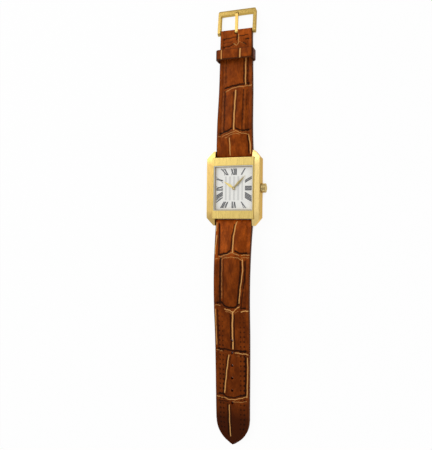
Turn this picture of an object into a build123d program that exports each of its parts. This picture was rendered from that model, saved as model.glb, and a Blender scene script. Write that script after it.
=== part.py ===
from build123d import *
import math
import os

# A rectangular dress wristwatch on a padded leather strap with a pin buckle.
# Millimetres. +X points to the crown, +Y to twelve o'clock and the buckle, +Z out of the dial.
# The origin is the middle of the flat case back, on the surface that the watch lies on.

os.makedirs("parts", exist_ok=True)

# Fits that every piece shares
running_fit = 0.04  # radial play of a pivot, shaft or bar that turns
seat_gap = 0.05  # play of a piece that sits still in its recess
overrun = 1.0  # how far a cut passes the face that it opens
pin_sides = 8  # flat sides of a pin, pillar or hole that nothing turns on
round_sides = 20  # and of one that shows

# Case, seen from above
case_width = 26.0
case_length = 35.0  # over the tips of the lugs
body_length = 28.7  # between the end faces that the strap meets
lug_gap = 18.0
rail_width = 3.0  # each side rail, beside the bezel
corner_across = 3.2  # the cut corner of a lug, along X
corner_along = 3.7  # and along Y
chamber_width = 18.8  # room for the dial and the movement
chamber_length = 21.4
chamber_corner = 0.8
window_width = 18.1  # dial left in view by the bezel's ledge
window_length = 20.1

# Case, in height from the surface that it lies on
back_thickness = 1.0
spigot_height = 0.3
spigot_wall = 1.0
clip_thickness = 0.15
bridge_thickness = 0.3
train_space = 0.95
plate_thickness = 1.2
dial_thickness = 0.4
bezel_thickness = 1.7
bezel_proud = 0.4  # how far the bezel stands above the side rails
ledge_thickness = 0.8
crystal_thickness = 1.2
lug_bar_height = 2.9
lug_bar_inset = 1.6  # from the tip of the lug back to its spring bar
lug_bend_start = 11.0  # where the top of the rail starts to curve down
lug_drop = 1.1
lug_tip_height = 0.6
lug_under_inset = 0.4  # where the underside of the lug starts, inside the body's end

# Case details
rail_edge = 0.35
bezel_edge = 0.3
bezel_lip = 0.15
ledge_width = 0.35
crystal_wall = 0.25  # of the gasket round the crystal
crystal_gasket_height = 0.7
crystal_bevel = 0.25
back_width = 22.6
back_length = 27.8
back_corner = 1.6
back_bevel = 0.45
back_gasket_width = 0.5
back_gasket_height = 0.3
back_gasket_inset = 0.25  # from the chamber's wall out to the gasket
case_screw_radius = 0.55
case_screw_head_radius = 0.9
case_screw_head_height = 0.45
case_screw_inset = 1.0  # from the chamber's side wall to the screw's axis
case_screw_grip = 0.8  # thread inside the bezel
case_screw_recess = 0.1
slot_width = 0.25
slot_depth = 0.2

# Crown and stem
stem_rise = 0.35  # of the stem's axis above the plate's lower face
stem_radius = 0.5
stem_neck_radius = 0.28
stem_pilot_radius = 0.2
stem_groove_radius = 0.24
stem_groove_width = 0.4
stem_pilot_start = 4.02
stem_neck_start = 4.4
stem_shoulder = 5.6
stem_groove_start = 6.1
pinion_start = 4.45
pinion_length = 0.9
clutch_radius = 0.6
clutch_flute_radius = 0.1
clutch_flute_count = 12
crown_gap = 0.1  # between the case's side and the pushed-in crown
crown_radius = 2.15
crown_length = 1.95
crown_dome = 0.5
crown_dome_radius = 1.75
crown_recess_radius = 1.35
crown_recess_depth = 1.2
crown_flute_radius = 0.24
crown_flute_sink = 0.07
crown_flute_count = 24
crown_gasket_length = 0.45
tube_radius = 1.0
tube_projection = 0.9

# Movement, seen from above
plate_width = 15.3
plate_length = 17.8
plate_corner = 0.5
battery_radius = 3.4
battery_height = 2.1
battery_step = 0.35
battery_step_radius = 2.9
battery_place = (-3.8, -4.9)
board_width = 7.0
board_length = 4.7
board_thickness = 0.3
board_place = (3.75, -6.2)
chip_size = 1.9
chip_height = 0.5
chip_place = (1.9, -5.3)
can_radius = 0.72
can_length = 4.6
can_place = (4.4, -7.1)
coil_radius = 0.7
coil_length = 5.6
coil_flange = 0.25
coil_flange_radius = 0.85
core_thickness = 0.4
core_width = 0.7
core_end_radius = 0.75
core_left = (-4.8, 7.3)
core_right = (6.0, 7.3)
stator_thickness = 0.4
stator_half_width = 0.6
stator_ring_radius = 1.0
stator_bore_radius = 0.72
magnet_radius = 0.55
pillar_radius = 0.8
bridge_screws = ((-4.6, 2.2), (3.7, 2.8))
clip_screws = ((0.6, -2.9), (-6.75, -7.85))
board_screw = (6.6, -4.9)
plate_screw_radius = 0.3
plate_screw_head_radius = 0.48
plate_screw_head_height = 0.2
plate_screw_grip = 0.3  # thread inside the main plate
plate_slot_width = 0.14
plate_slot_depth = 0.08
foot_radius = 0.35
foot_length = 0.9
dial_feet = ((-6.7, 5.4), (6.7, -3.4))

# Setting lever
lever_pivot = (6.75, -2.64)
lever_pin = (6.3, -0.42)
lever_thickness = 0.2
lever_drop = 0.2  # below the plate's lower face
lever_pin_radius = 0.12
lever_pivot_radius = 0.25
lever_boss = 0.55
lever_nose = 0.34

# Going train and motion work
train_module = 0.1
train_pinion_teeth = 8
first_wheel_teeth = 24
third_wheel_teeth = 32
centre_wheel_teeth = 40
cannon_teeth = 12
minute_wheel_teeth = 36
minute_pinion_teeth = 10
hour_wheel_teeth = 40
tooth_height_share = 0.8  # of the module, above the pitch circle
tooth_root_share = 1.15  # of the module, below the pitch circle
wheel_rim_share = 0.78  # of the pitch radius, the inside of a wheel's rim
wheel_hub_share = 0.32  # of the pitch radius, the hub
spoke_count = 4
spoke_width = 0.3
wheel_thickness = 0.15
wheel_step = 0.29  # from one wheel's level to the next
arbor_radius = 0.22
pivot_radius = 0.15
pivot_depth = 0.22
third_angle = 120.0
first_angle = 60.0
rotor_angle = 50.0
minute_angle = -35.0
motion_pocket_depth = 0.65
motion_pocket_gap = 0.2
motion_lift = 0.06  # of the lowest motion wheel above the pocket's floor
cannon_tooth_height = 0.18
cannon_radius = 0.35
hour_pipe_wall = 0.15
stud_radius = 0.2
hour_wheel_lift = 0.32
minute_pinion_height = 0.26

# Dial and hands
dial_hole_radius = 0.75
hand_thickness = 0.14
hour_hand_lift = 0.13  # above the dial
minute_hand_lift = 0.4
hour_hand_length = 5.9
minute_hand_length = 8.05
hand_half_width = 0.62
hand_belly_share = 0.42
hand_root_share = 0.4
hand_boss_radius = 0.78
cannon_end = 0.1  # of the cannon pinion above the minute hand
shown_hour = 10.0
shown_minute = 7.2

# Strap
bar_radius = 0.75
bar_tip_radius = 0.4
bar_tip_length = 0.8
fold_radius = 1.35  # of the leather round a lug's spring bar
strap_side_gap = 0.15  # between the strap and each lug
long_reach = 104.4  # from the spring bar to the point, along Y
short_reach = 58.2  # from the spring bar to the buckle's bar, along Y
long_end_width = 16.0
short_end_width = 15.4
crest_height = 6.2  # middle of the leather, where the long strap arches up
tip_height = 0.98  # middle of the leather, where its point lies down
strap_flat_height = 2.15  # middle of the leather, where the short strap runs level
long_edge_thickness = 1.9
short_edge_thickness = 2.1
crown_rise = 1.2  # of the padding above the edges
flange_width = 1.9  # flat edge outside the padding
lining_thickness = 0.7
tip_taper = 13.0
tip_nose_radius = 3.0
station_count = 16  # along each half
hole_radius = 0.75
hole_pitch = 5.94
hole_count = 6
hole_start = 55.0  # from the spring bar to the first hole
# Each row: share of the reach, of the way from the point's height to the crest's,
# of the way from the edge's thickness to the fold's, and of the crown's rise.
long_strap_shares = (
    (0.000, 0.369, 0.86, 0.03),
    (0.031, 0.474, 0.72, 0.35),
    (0.077, 0.646, 0.40, 0.80),
    (0.153, 0.866, 0.28, 1.00),
    (0.249, 0.990, 0.25, 1.00),
    (0.355, 0.933, 0.22, 0.92),
    (0.513, 0.570, 0.15, 0.75),
    (0.661, 0.369, 0.10, 0.52),
    (0.814, 0.226, 0.05, 0.38),
    (0.920, 0.082, 0.02, 0.30),
    (1.000, 0.000, 0.00, 0.22),
)
# Each row: share of the reach, share of the way from the level height to the arch's,
# share of the way from the edge's thickness to the fold's, and share of the crown's rise.
arch_height = 3.55  # middle of the leather, just past the lugs
short_strap_shares = (
    (0.000, 0.536, 0.86, 0.03),
    (0.055, 0.780, 0.72, 0.35),
    (0.137, 0.960, 0.35, 0.80),
    (0.258, 0.930, 0.20, 0.92),
    (0.400, 0.450, 0.05, 0.72),
    (0.500, 0.090, 0.00, 0.45),
    (0.560, 0.000, 0.00, 0.34),
    (0.780, 0.000, 0.00, 0.33),
    (0.930, 0.000, 0.06, 0.20),
    (1.000, 0.000, 0.08, 0.03),
)

# Keeper
keeper_length = 4.7
keeper_wall = 0.8
keeper_place = 46.6  # from the lug's spring bar to its middle, along Y
keeper_side_play = 0.7  # total, across the strap
keeper_gap = 0.3  # above and below the leather
keeper_spare = 2.0  # left free over the short strap for the end of the long one
keeper_outer_corner = 1.6
keeper_inner_corner = 0.35

# Buckle
buckle_inner_width = 15.8
buckle_leg_width = 1.3
buckle_bar_width = 2.5
buckle_bar_radius = 0.95
buckle_eye_radius = 1.2
buckle_reach = 11.1  # from the spring bar to the outer edge
buckle_outer_corner = 1.5
buckle_inner_corner = 0.5
buckle_rest = 0.02  # clear of the surface that it lies on
buckle_fold_radius = 1.15
buckle_pin_radius = 0.65
buckle_pin_tip_radius = 0.35
tongue_width = 1.3
tongue_thickness = 0.85
tongue_loop_radius = 1.05
tongue_overlap = 0.75  # over the buckle's bar
tongue_notch_depth = 0.35
tongue_slot_gap = 0.15
tongue_slot_reach = 3.6

# Places that follow from these sizes
bezel_width = case_width - 2 * rail_width
movement_level = back_thickness + spigot_height + seat_gap
bridge_level = movement_level + clip_thickness + 2 * seat_gap
bridge_top = bridge_level + bridge_thickness
plate_level = bridge_top + train_space
plate_top = plate_level + plate_thickness
dial_top = plate_top + dial_thickness
bezel_level = dial_top + seat_gap
bezel_top = bezel_level + bezel_thickness
rail_top = bezel_top - bezel_proud
crystal_level = bezel_level + ledge_thickness
stem_height = plate_level + stem_rise
lug_bar_place = case_length / 2 - lug_bar_inset
case_screw_x = chamber_width / 2 - case_screw_inset
case_screw_y = (chamber_length + body_length) / 4
case_screw_places = [(x, y) for x in (-case_screw_x, case_screw_x) for y in (-case_screw_y, case_screw_y)]
crown_base = case_width / 2 + crown_gap
pocket_floor = plate_top - motion_pocket_depth
stem_axis = Axis((0, 0, stem_height), (1, 0, 0))


def polar(origin, radius, angle):
    """The point at a distance and an angle in degrees from another."""
    turn = math.radians(angle)
    return (origin[0] + radius * math.cos(turn), origin[1] + radius * math.sin(turn))


def mesh_distance(teeth, other_teeth, module):
    return (teeth + other_teeth) * module / 2


centre_place = (0, 0)
third_place = polar(
    centre_place, mesh_distance(centre_wheel_teeth, train_pinion_teeth, train_module), third_angle
)
first_place = polar(
    third_place, mesh_distance(third_wheel_teeth, train_pinion_teeth, train_module), first_angle
)
rotor_place = polar(
    first_place, mesh_distance(first_wheel_teeth, train_pinion_teeth, train_module), rotor_angle
)
motion_distance = mesh_distance(cannon_teeth, minute_wheel_teeth, train_module)
minute_place = polar(centre_place, motion_distance, minute_angle)
motion_module = 2 * motion_distance / (minute_pinion_teeth + hour_wheel_teeth)
first_level = bridge_top + (wheel_step - wheel_thickness)
third_level = first_level + wheel_step
centre_level = third_level + wheel_step
cannon_level = pocket_floor + motion_lift
hour_level = cannon_level + hour_wheel_lift
minute_hand_angle = 90 - 6 * shown_minute
hour_hand_angle = 90 - 30 * (shown_hour + shown_minute / 60)
minute_hand_level = dial_top + minute_hand_lift
hour_hand_level = dial_top + hour_hand_lift
hour_pipe_radius = cannon_radius + running_fit + hour_pipe_wall
lug_width = lug_gap - 2 * strap_side_gap
fold_width = lug_width - 2 * seat_gap
buckle_fold_width = short_end_width - 2 * seat_gap


def toothed_disc(place, level, teeth, module, tooth_angle):
    """The face of a wheel or pinion, with the middle of one tooth at an angle."""
    pitch = 360 / teeth
    root = module * (teeth / 2 - tooth_root_share)
    tip = module * (teeth / 2 + tooth_height_share)
    corners = ((root, -1 / 2), (tip, 0))
    points = []
    for tooth in range(teeth):
        for radius, share in corners:
            points.append(polar(place, radius, tooth_angle + (tooth + share) * pitch))
    with BuildSketch(Plane.XY.offset(level), mode=Mode.PRIVATE) as face:
        with BuildLine():
            Polyline(*points, close=True)
        make_face()
    return face.sketch


def wheel_face(place, level, teeth, module, tooth_angle):
    """A wheel's face: teeth, a rim, a hub and crossed spokes."""
    radius = module * teeth / 2
    with BuildSketch(Plane.XY.offset(level), mode=Mode.PRIVATE) as face:
        with Locations(place):
            RegularPolygon(radius * wheel_rim_share, pin_sides)
            RegularPolygon(radius * wheel_hub_share, pin_sides, mode=Mode.SUBTRACT)
            with PolarLocations(0, spoke_count):
                Rectangle(radius, spoke_width, align=(Align.MIN, Align.CENTER), mode=Mode.SUBTRACT)
    return toothed_disc(place, level, teeth, module, tooth_angle) - face.sketch


def disc(place, level, radius, hole_radius=0):
    """A round face, or a ring where a hole is asked for."""
    with BuildSketch(Plane.XY.offset(level), mode=Mode.PRIVATE) as face:
        with Locations(place):
            Circle(radius)
            if hole_radius:
                Circle(hole_radius, mode=Mode.SUBTRACT)
    return face.sketch


def pin_face(place, level, radius, around=False, sides=pin_sides):
    """A nearly round face with flat sides, inside its radius for a pin or around it for a hole."""
    with BuildSketch(Plane.XY.offset(level), mode=Mode.PRIVATE) as face:
        with Locations(place):
            RegularPolygon(radius, sides, major_radius=not around)
    return face.sketch


def facing_pin(along, across, height, radius, around=False):
    """The same, looking along X."""
    with BuildSketch(Plane(origin=(along, across, height), z_dir=(1, 0, 0)), mode=Mode.PRIVATE) as face:
        RegularPolygon(radius, pin_sides, major_radius=not around)
    return face.sketch


def facing_disc(along, across, height, radius, hole_radius=0):
    """A round face or ring that looks along X, for shafts, bars and bores."""
    with BuildSketch(Plane(origin=(along, across, height), z_dir=(1, 0, 0)), mode=Mode.PRIVATE) as face:
        Circle(radius)
        if hole_radius:
            Circle(hole_radius, mode=Mode.SUBTRACT)
    return face.sketch


def hull_face(level, circles):
    """The face that a band drawn tight round some circles would hold."""
    with BuildSketch(Plane.XY.offset(level), mode=Mode.PRIVATE) as face:
        for place, radius in circles:
            with Locations(place):
                RegularPolygon(radius, 2 * pin_sides)
        make_hull()
    return face.sketch


def cut_corner_face(level, width, length, corner):
    """A rectangle with its corners cut, like the case's own."""
    with BuildSketch(Plane.XY.offset(level), mode=Mode.PRIVATE) as face:
        Rectangle(width, length)
        chamfer(face.vertices(), corner)
    return face.sketch


# Case middle: two side rails that end in lugs, joined by a body under the bezel
with BuildPart() as case_middle:
    with BuildSketch(Plane.YZ):
        with BuildLine():
            crest = Line((0, rail_top), (lug_bend_start, rail_top))
            fall = TangentArc(
                crest @ 1, (case_length / 2, rail_top - lug_drop), tangent=crest % 1
            )
            Polyline(
                fall @ 1,
                (case_length / 2, lug_tip_height),
                (body_length / 2 - lug_under_inset, back_thickness),
                (0, back_thickness),
                (0, rail_top),
            )
        make_face()
        mirror(about=Plane.YZ)
    extrude(amount=case_width / 2, both=True)
    with BuildSketch():
        with BuildLine():
            Polyline(
                (0, 0),
                (case_width / 2, 0),
                (case_width / 2, case_length / 2 - corner_along),
                (case_width / 2 - corner_across, case_length / 2),
                (lug_gap / 2, case_length / 2),
                (lug_gap / 2, body_length / 2),
                (0, body_length / 2),
                close=True,
            )
        make_face()
        mirror(about=Plane.XZ)
        mirror(about=Plane.YZ)
    extrude(amount=rail_top + overrun, mode=Mode.INTERSECT)
    fillet(case_middle.edges().filter_by(Axis.Y).group_by(Axis.Z)[-1], rail_edge)
    with BuildSketch(Plane.XY.offset(bezel_level)):
        Rectangle(bezel_width + 2 * seat_gap, body_length + 2 * seat_gap)
    extrude(amount=bezel_top - bezel_level, mode=Mode.SUBTRACT)
    extrude(
        cut_corner_face(0, chamber_width, chamber_length, chamber_corner),
        amount=bezel_top,
        mode=Mode.SUBTRACT,
    )
    extrude(
        facing_disc(chamber_width / 2 - overrun, 0, stem_height, tube_radius + seat_gap),
        amount=case_width / 2,
        mode=Mode.SUBTRACT,
    )
    for place in (-lug_bar_place, lug_bar_place):
        extrude(
            facing_pin(0, place, lug_bar_height, bar_tip_radius + seat_gap, around=True),
            amount=lug_gap / 2 + bar_tip_length + seat_gap,
            both=True,
            mode=Mode.SUBTRACT,
        )
    for place in case_screw_places:
        extrude(
            pin_face(place, 0, case_screw_radius + seat_gap, around=True),
            amount=bezel_top,
            mode=Mode.SUBTRACT,
        )

# Bezel: a raised rectangular frame with a pocket for the crystal over a narrow ledge
pocket_width = window_width + 2 * ledge_width
pocket_length = window_length + 2 * ledge_width
with BuildPart() as bezel:
    with BuildSketch(Plane.XY.offset(bezel_level)):
        Rectangle(bezel_width, body_length)
    extrude(amount=bezel_thickness)
    fillet(bezel.edges().group_by(Axis.Z)[-1], bezel_edge)
    with BuildSketch(Plane.XY.offset(bezel_level)):
        Rectangle(window_width, window_length)
    extrude(amount=bezel_thickness, mode=Mode.SUBTRACT)
    with BuildSketch(Plane.XY.offset(crystal_level)):
        Rectangle(pocket_width, pocket_length)
    extrude(amount=bezel_thickness, mode=Mode.SUBTRACT)
    rim = bezel.faces().sort_by(Axis.Z)[-1].inner_wires()
    chamfer(rim.edges(), bezel_lip)
    for place in case_screw_places:
        extrude(
            pin_face(place, bezel_level, case_screw_radius + seat_gap, around=True),
            amount=case_screw_grip + seat_gap,
            mode=Mode.SUBTRACT,
        )

# Crystal and the gasket that it is pressed into
crystal_width = pocket_width - 2 * crystal_wall - 2 * seat_gap
crystal_length = pocket_length - 2 * crystal_wall - 2 * seat_gap
with BuildPart() as crystal:
    with BuildSketch(Plane.XY.offset(crystal_level)):
        Rectangle(crystal_width, crystal_length)
    extrude(amount=crystal_thickness)
    chamfer(crystal.edges().group_by(Axis.Z)[-1], crystal_bevel)

with BuildPart() as crystal_gasket:
    with BuildSketch(Plane.XY.offset(crystal_level)):
        Rectangle(pocket_width - seat_gap, pocket_length - seat_gap)
        Rectangle(crystal_width + seat_gap, crystal_length + seat_gap, mode=Mode.SUBTRACT)
    extrude(amount=crystal_gasket_height)

# Case back: an outer plate, a rim that centres it, a gasket groove and four sunk screws
groove_width = chamber_width + 2 * back_gasket_inset
groove_length = chamber_length + 2 * back_gasket_inset
groove_level = back_thickness - back_gasket_height
groove_corner = chamber_corner + back_gasket_inset


def gasket_ring(play):
    """The ring that the back's gasket fills, drawn in by some play all round."""
    return cut_corner_face(
        groove_level,
        groove_width + 2 * back_gasket_width - play,
        groove_length + 2 * back_gasket_width - play,
        groove_corner,
    ) - cut_corner_face(groove_level, groove_width + play, groove_length + play, groove_corner)


with BuildPart() as case_back:
    extrude(cut_corner_face(0, back_width, back_length, back_corner), amount=back_thickness)
    chamfer(case_back.edges().group_by(Axis.Z)[0], back_bevel)
    extrude(
        cut_corner_face(
            back_thickness,
            chamber_width - 2 * seat_gap,
            chamber_length - 2 * seat_gap,
            chamber_corner,
        ),
        amount=spigot_height,
    )
    with BuildSketch(Plane.XY.offset(back_thickness)):
        Rectangle(chamber_width - 2 * spigot_wall, chamber_length - 2 * spigot_wall)
    extrude(amount=spigot_height, mode=Mode.SUBTRACT)
    extrude(gasket_ring(0), amount=back_gasket_height, mode=Mode.SUBTRACT)
    for place in case_screw_places:
        extrude(
            pin_face(place, 0, case_screw_radius + seat_gap, around=True),
            amount=back_thickness,
            mode=Mode.SUBTRACT,
        )
        extrude(
            pin_face(place, 0, case_screw_head_radius + seat_gap, around=True, sides=round_sides),
            amount=case_screw_recess + case_screw_head_height,
            mode=Mode.SUBTRACT,
        )

with BuildPart() as case_back_gasket:
    extrude(gasket_ring(seat_gap), amount=back_gasket_height)

with BuildPart() as case_back_screws:
    for place in case_screw_places:
        extrude(
            pin_face(place, case_screw_recess, case_screw_head_radius, sides=round_sides),
            amount=case_screw_head_height,
        )
        extrude(
            pin_face(place, case_screw_recess, case_screw_radius),
            amount=bezel_level + case_screw_grip - case_screw_recess,
        )
        with BuildSketch(Plane.XY.offset(case_screw_recess)):
            with Locations(place):
                Rectangle(2 * case_screw_head_radius, slot_width)
        extrude(amount=slot_depth, mode=Mode.SUBTRACT)

# Crown tube: a sleeve through the case's wall that the crown closes over
tube_start = chamber_width / 2
tube_end = case_width / 2 + tube_projection
with BuildPart() as crown_tube:
    extrude(
        facing_disc(tube_start, 0, stem_height, tube_radius, stem_radius + running_fit),
        amount=tube_end - tube_start,
    )

# Casing ring: a moulded frame that holds the movement in the case
with BuildPart() as casing_ring:
    extrude(
        cut_corner_face(
            movement_level,
            chamber_width - 2 * seat_gap,
            chamber_length - 2 * seat_gap,
            chamber_corner,
        ),
        amount=plate_top - movement_level,
    )
    extrude(
        cut_corner_face(
            movement_level, plate_width + 2 * seat_gap, plate_length + 2 * seat_gap, plate_corner
        ),
        amount=plate_top - movement_level,
        mode=Mode.SUBTRACT,
    )
    extrude(
        facing_disc(0, 0, stem_height, tube_radius + seat_gap),
        amount=case_width / 2,
        mode=Mode.SUBTRACT,
    )

# Dial with two feet that drop into the main plate
with BuildPart() as dial:
    extrude(
        cut_corner_face(
            plate_top, chamber_width - 2 * seat_gap, chamber_length - 2 * seat_gap, chamber_corner
        ),
        amount=dial_thickness,
    )
    extrude(
        disc(centre_place, plate_top, dial_hole_radius),
        amount=dial_thickness,
        mode=Mode.SUBTRACT,
    )
    for place in dial_feet:
        extrude(pin_face(place, plate_top, foot_radius), amount=-foot_length)

# Main plate: it carries the train below, the motion work above and the battery beside them
clutch_room = clutch_radius + seat_gap
battery_level = movement_level + clip_thickness
battery_top = battery_level + battery_height
coil_height = bridge_top + core_thickness / 2
stator_level = bridge_top + core_thickness
minute_tip = train_module * (minute_wheel_teeth / 2 + tooth_height_share)
hour_tip = motion_module * (hour_wheel_teeth / 2 + tooth_height_share)
train_places = (rotor_place, first_place, third_place)
pillar_places = bridge_screws + (board_screw,)
with BuildPart() as main_plate:
    extrude(
        cut_corner_face(plate_level, plate_width, plate_length, plate_corner),
        amount=plate_thickness,
    )
    for place, tip in ((centre_place, hour_tip), (minute_place, minute_tip)):
        extrude(
            pin_face(place, pocket_floor, tip + motion_pocket_gap, around=True, sides=round_sides),
            amount=motion_pocket_depth,
            mode=Mode.SUBTRACT,
        )
    extrude(disc(minute_place, pocket_floor, stud_radius), amount=hour_level - pocket_floor)
    extrude(
        pin_face(
            battery_place, plate_level, battery_radius + 2 * seat_gap, around=True, sides=round_sides
        ),
        amount=battery_top + seat_gap - plate_level,
        mode=Mode.SUBTRACT,
    )
    with BuildSketch(Plane.XY.offset(plate_level)):
        with Locations(((core_left[0] + core_right[0]) / 2, core_left[1])):
            Rectangle(coil_length + 4 * seat_gap, 2 * coil_flange_radius + 2 * seat_gap)
    extrude(
        amount=coil_height + coil_flange_radius + seat_gap - plate_level, mode=Mode.SUBTRACT
    )
    with BuildSketch(Plane.XY.offset(plate_level)):
        with Locations(can_place):
            Rectangle(can_length + 2 * seat_gap, 2 * can_radius + 2 * seat_gap)
    extrude(amount=2 * can_radius, mode=Mode.SUBTRACT)
    with BuildSketch(Plane.XY.offset(plate_level)):
        with Locations((stem_neck_start, 0)):
            Rectangle(plate_width / 2, 2 * clutch_room, align=(Align.MIN, Align.CENTER))
    extrude(amount=stem_rise + clutch_room, mode=Mode.SUBTRACT)
    extrude(
        facing_pin(stem_neck_start, 0, stem_height, stem_pilot_radius + running_fit, around=True),
        amount=stem_pilot_start - stem_neck_start - seat_gap,
        mode=Mode.SUBTRACT,
    )
    for place in pillar_places:
        extrude(pin_face(place, bridge_top, pillar_radius), amount=train_space)
    for place in clip_screws:
        extrude(pin_face(place, battery_level, pillar_radius), amount=plate_level - battery_level)
    for place in (core_left, core_right):
        extrude(
            pin_face(place, stator_level + stator_thickness, pillar_radius),
            amount=plate_level - stator_level - stator_thickness,
        )
    for place in bridge_screws + clip_screws + (board_screw, core_left, core_right):
        extrude(
            pin_face(place, battery_level, plate_screw_radius + seat_gap, around=True),
            amount=plate_level + plate_screw_grip + seat_gap - battery_level,
            mode=Mode.SUBTRACT,
        )
    extrude(
        pin_face(lever_pivot, plate_level, lever_pivot_radius + seat_gap, around=True),
        amount=plate_screw_grip + seat_gap,
        mode=Mode.SUBTRACT,
    )
    for place in train_places:
        extrude(
            pin_face(place, plate_level, pivot_radius + running_fit, around=True),
            amount=pivot_depth + seat_gap,
            mode=Mode.SUBTRACT,
        )
    extrude(
        disc(centre_place, plate_level, cannon_radius + running_fit),
        amount=plate_thickness,
        mode=Mode.SUBTRACT,
    )
    for place in dial_feet:
        extrude(
            pin_face(place, plate_top, foot_radius + seat_gap, around=True),
            amount=-foot_length - seat_gap,
            mode=Mode.SUBTRACT,
        )

# Train bridge: the lower bearings of the wheels
bridge_circles = [(place, pillar_radius) for place in bridge_screws]
bridge_circles += [(rotor_place, pillar_radius), (centre_place, pillar_radius)]
with BuildPart() as train_bridge:
    extrude(hull_face(bridge_level, bridge_circles), amount=bridge_thickness)
    for place in bridge_screws:
        extrude(
            pin_face(place, bridge_level, plate_screw_radius + seat_gap, around=True),
            amount=bridge_thickness,
            mode=Mode.SUBTRACT,
        )
    for place in train_places + (centre_place,):
        extrude(
            pin_face(place, bridge_level, pivot_radius + running_fit, around=True),
            amount=bridge_thickness,
            mode=Mode.SUBTRACT,
        )

# Button cell and the springy clip that holds it up against its contact
with BuildPart() as battery:
    extrude(
        disc(battery_place, battery_level, battery_radius), amount=battery_height - battery_step
    )
    extrude(
        disc(battery_place, battery_top - battery_step, battery_step_radius), amount=battery_step
    )

clip_circles = [(place, pillar_radius) for place in clip_screws]
clip_circles += [(battery_place, battery_radius / 2)]
with BuildPart() as battery_clip:
    extrude(hull_face(movement_level, clip_circles), amount=clip_thickness)
    for place in clip_screws:
        extrude(
            pin_face(place, movement_level, plate_screw_radius + seat_gap, around=True),
            amount=clip_thickness,
            mode=Mode.SUBTRACT,
        )

# Circuit board with its chip, and the resonator in its can
with BuildPart() as circuit_board:
    with BuildSketch(Plane.XY.offset(bridge_level)):
        with Locations(board_place):
            Rectangle(board_width, board_length)
        with Locations(board_screw):
            RegularPolygon(
                plate_screw_radius + seat_gap, pin_sides, major_radius=False, mode=Mode.SUBTRACT
            )
    extrude(amount=board_thickness)
    with BuildSketch(Plane.XY.offset(bridge_level + board_thickness)):
        with Locations(chip_place):
            Rectangle(chip_size, chip_size)
    extrude(amount=chip_height)

can_height = bridge_level + board_thickness + can_radius
with BuildPart() as resonator:
    extrude(
        facing_disc(can_place[0] - can_length / 2, can_place[1], can_height, can_radius),
        amount=can_length,
    )

# Stepping motor: a coil on its core, the stator, and the magnet that turns in it
core_middle = ((core_left[0] + core_right[0]) / 2, core_left[1])
coil_start = core_middle[0] - coil_length / 2
with BuildPart() as drive_coil:
    with BuildSketch(Plane.XY.offset(bridge_top)):
        with Locations(core_middle):
            Rectangle(core_right[0] - core_left[0], core_width)
        with Locations(core_left, core_right):
            RegularPolygon(core_end_radius, pin_sides)
            RegularPolygon(
                plate_screw_radius + seat_gap, pin_sides, major_radius=False, mode=Mode.SUBTRACT
            )
    extrude(amount=core_thickness)
    extrude(
        facing_disc(coil_start, core_middle[1], coil_height, coil_radius), amount=coil_length
    )
    for start in (coil_start, coil_start + coil_length - coil_flange):
        extrude(
            facing_pin(start, core_middle[1], coil_height, coil_flange_radius),
            amount=coil_flange,
        )

with BuildPart() as stator:
    with BuildSketch(Plane.XY.offset(stator_level)):
        with Locations((core_middle[0], rotor_place[1])):
            Rectangle(
                core_right[0] - core_left[0] + 2 * stator_half_width, 2 * stator_half_width
            )
        with Locations(rotor_place):
            RegularPolygon(stator_ring_radius, 2 * pin_sides)
        for end in (core_left, core_right):
            with Locations((end[0], (end[1] + rotor_place[1]) / 2)):
                Rectangle(2 * stator_half_width, end[1] - rotor_place[1])
            with Locations(end):
                RegularPolygon(core_end_radius, pin_sides)
                RegularPolygon(
                    plate_screw_radius + seat_gap,
                    pin_sides,
                    major_radius=False,
                    mode=Mode.SUBTRACT,
                )
        with Locations(rotor_place):
            Circle(stator_bore_radius, mode=Mode.SUBTRACT)
    extrude(amount=stator_thickness)

pivot_bottom = bridge_top - pivot_depth


def add_arbor(place):
    """An arbor with a thin pivot at each end, in the part that is being built."""
    extrude(
        pin_face(place, pivot_bottom, pivot_radius),
        amount=plate_level + pivot_depth - pivot_bottom,
    )
    extrude(
        disc(place, bridge_top + seat_gap, arbor_radius), amount=train_space - 2 * seat_gap
    )


with BuildPart() as rotor:
    add_arbor(rotor_place)
    extrude(
        toothed_disc(
            rotor_place,
            bridge_top + seat_gap,
            train_pinion_teeth,
            train_module,
            180 + rotor_angle,
        ),
        amount=core_thickness - 2 * seat_gap,
    )
    extrude(
        pin_face(rotor_place, stator_level, magnet_radius, sides=round_sides),
        amount=stator_thickness,
    )

# Each wheel of the going train carries the pinion that drives the next one
with BuildPart() as first_wheel:
    add_arbor(first_place)
    extrude(
        wheel_face(
            first_place,
            first_level,
            first_wheel_teeth,
            train_module,
            rotor_angle + 180 / first_wheel_teeth,
        ),
        amount=wheel_thickness,
    )
    extrude(
        toothed_disc(
            first_place,
            first_level + wheel_thickness,
            train_pinion_teeth,
            train_module,
            180 + first_angle,
        ),
        amount=wheel_step + seat_gap,
    )

with BuildPart() as third_wheel:
    add_arbor(third_place)
    extrude(
        wheel_face(
            third_place,
            third_level,
            third_wheel_teeth,
            train_module,
            first_angle + 180 / third_wheel_teeth,
        ),
        amount=wheel_thickness,
    )
    extrude(
        toothed_disc(
            third_place,
            third_level + wheel_thickness,
            train_pinion_teeth,
            train_module,
            180 + third_angle,
        ),
        amount=wheel_step,
    )

with BuildPart() as centre_wheel:
    extrude(pin_face(centre_place, pivot_bottom, pivot_radius), amount=train_space)
    extrude(
        disc(centre_place, bridge_top + seat_gap, arbor_radius), amount=train_space
    )
    extrude(
        wheel_face(
            centre_place,
            centre_level,
            centre_wheel_teeth,
            train_module,
            third_angle + 180 / centre_wheel_teeth,
        ),
        amount=wheel_thickness,
    )
    extrude(
        disc(centre_place, centre_level, cannon_radius),
        amount=minute_hand_level + hand_thickness + cannon_end - centre_level,
    )
    extrude(
        toothed_disc(centre_place, cannon_level, cannon_teeth, train_module, minute_angle),
        amount=cannon_tooth_height,
    )

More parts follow.
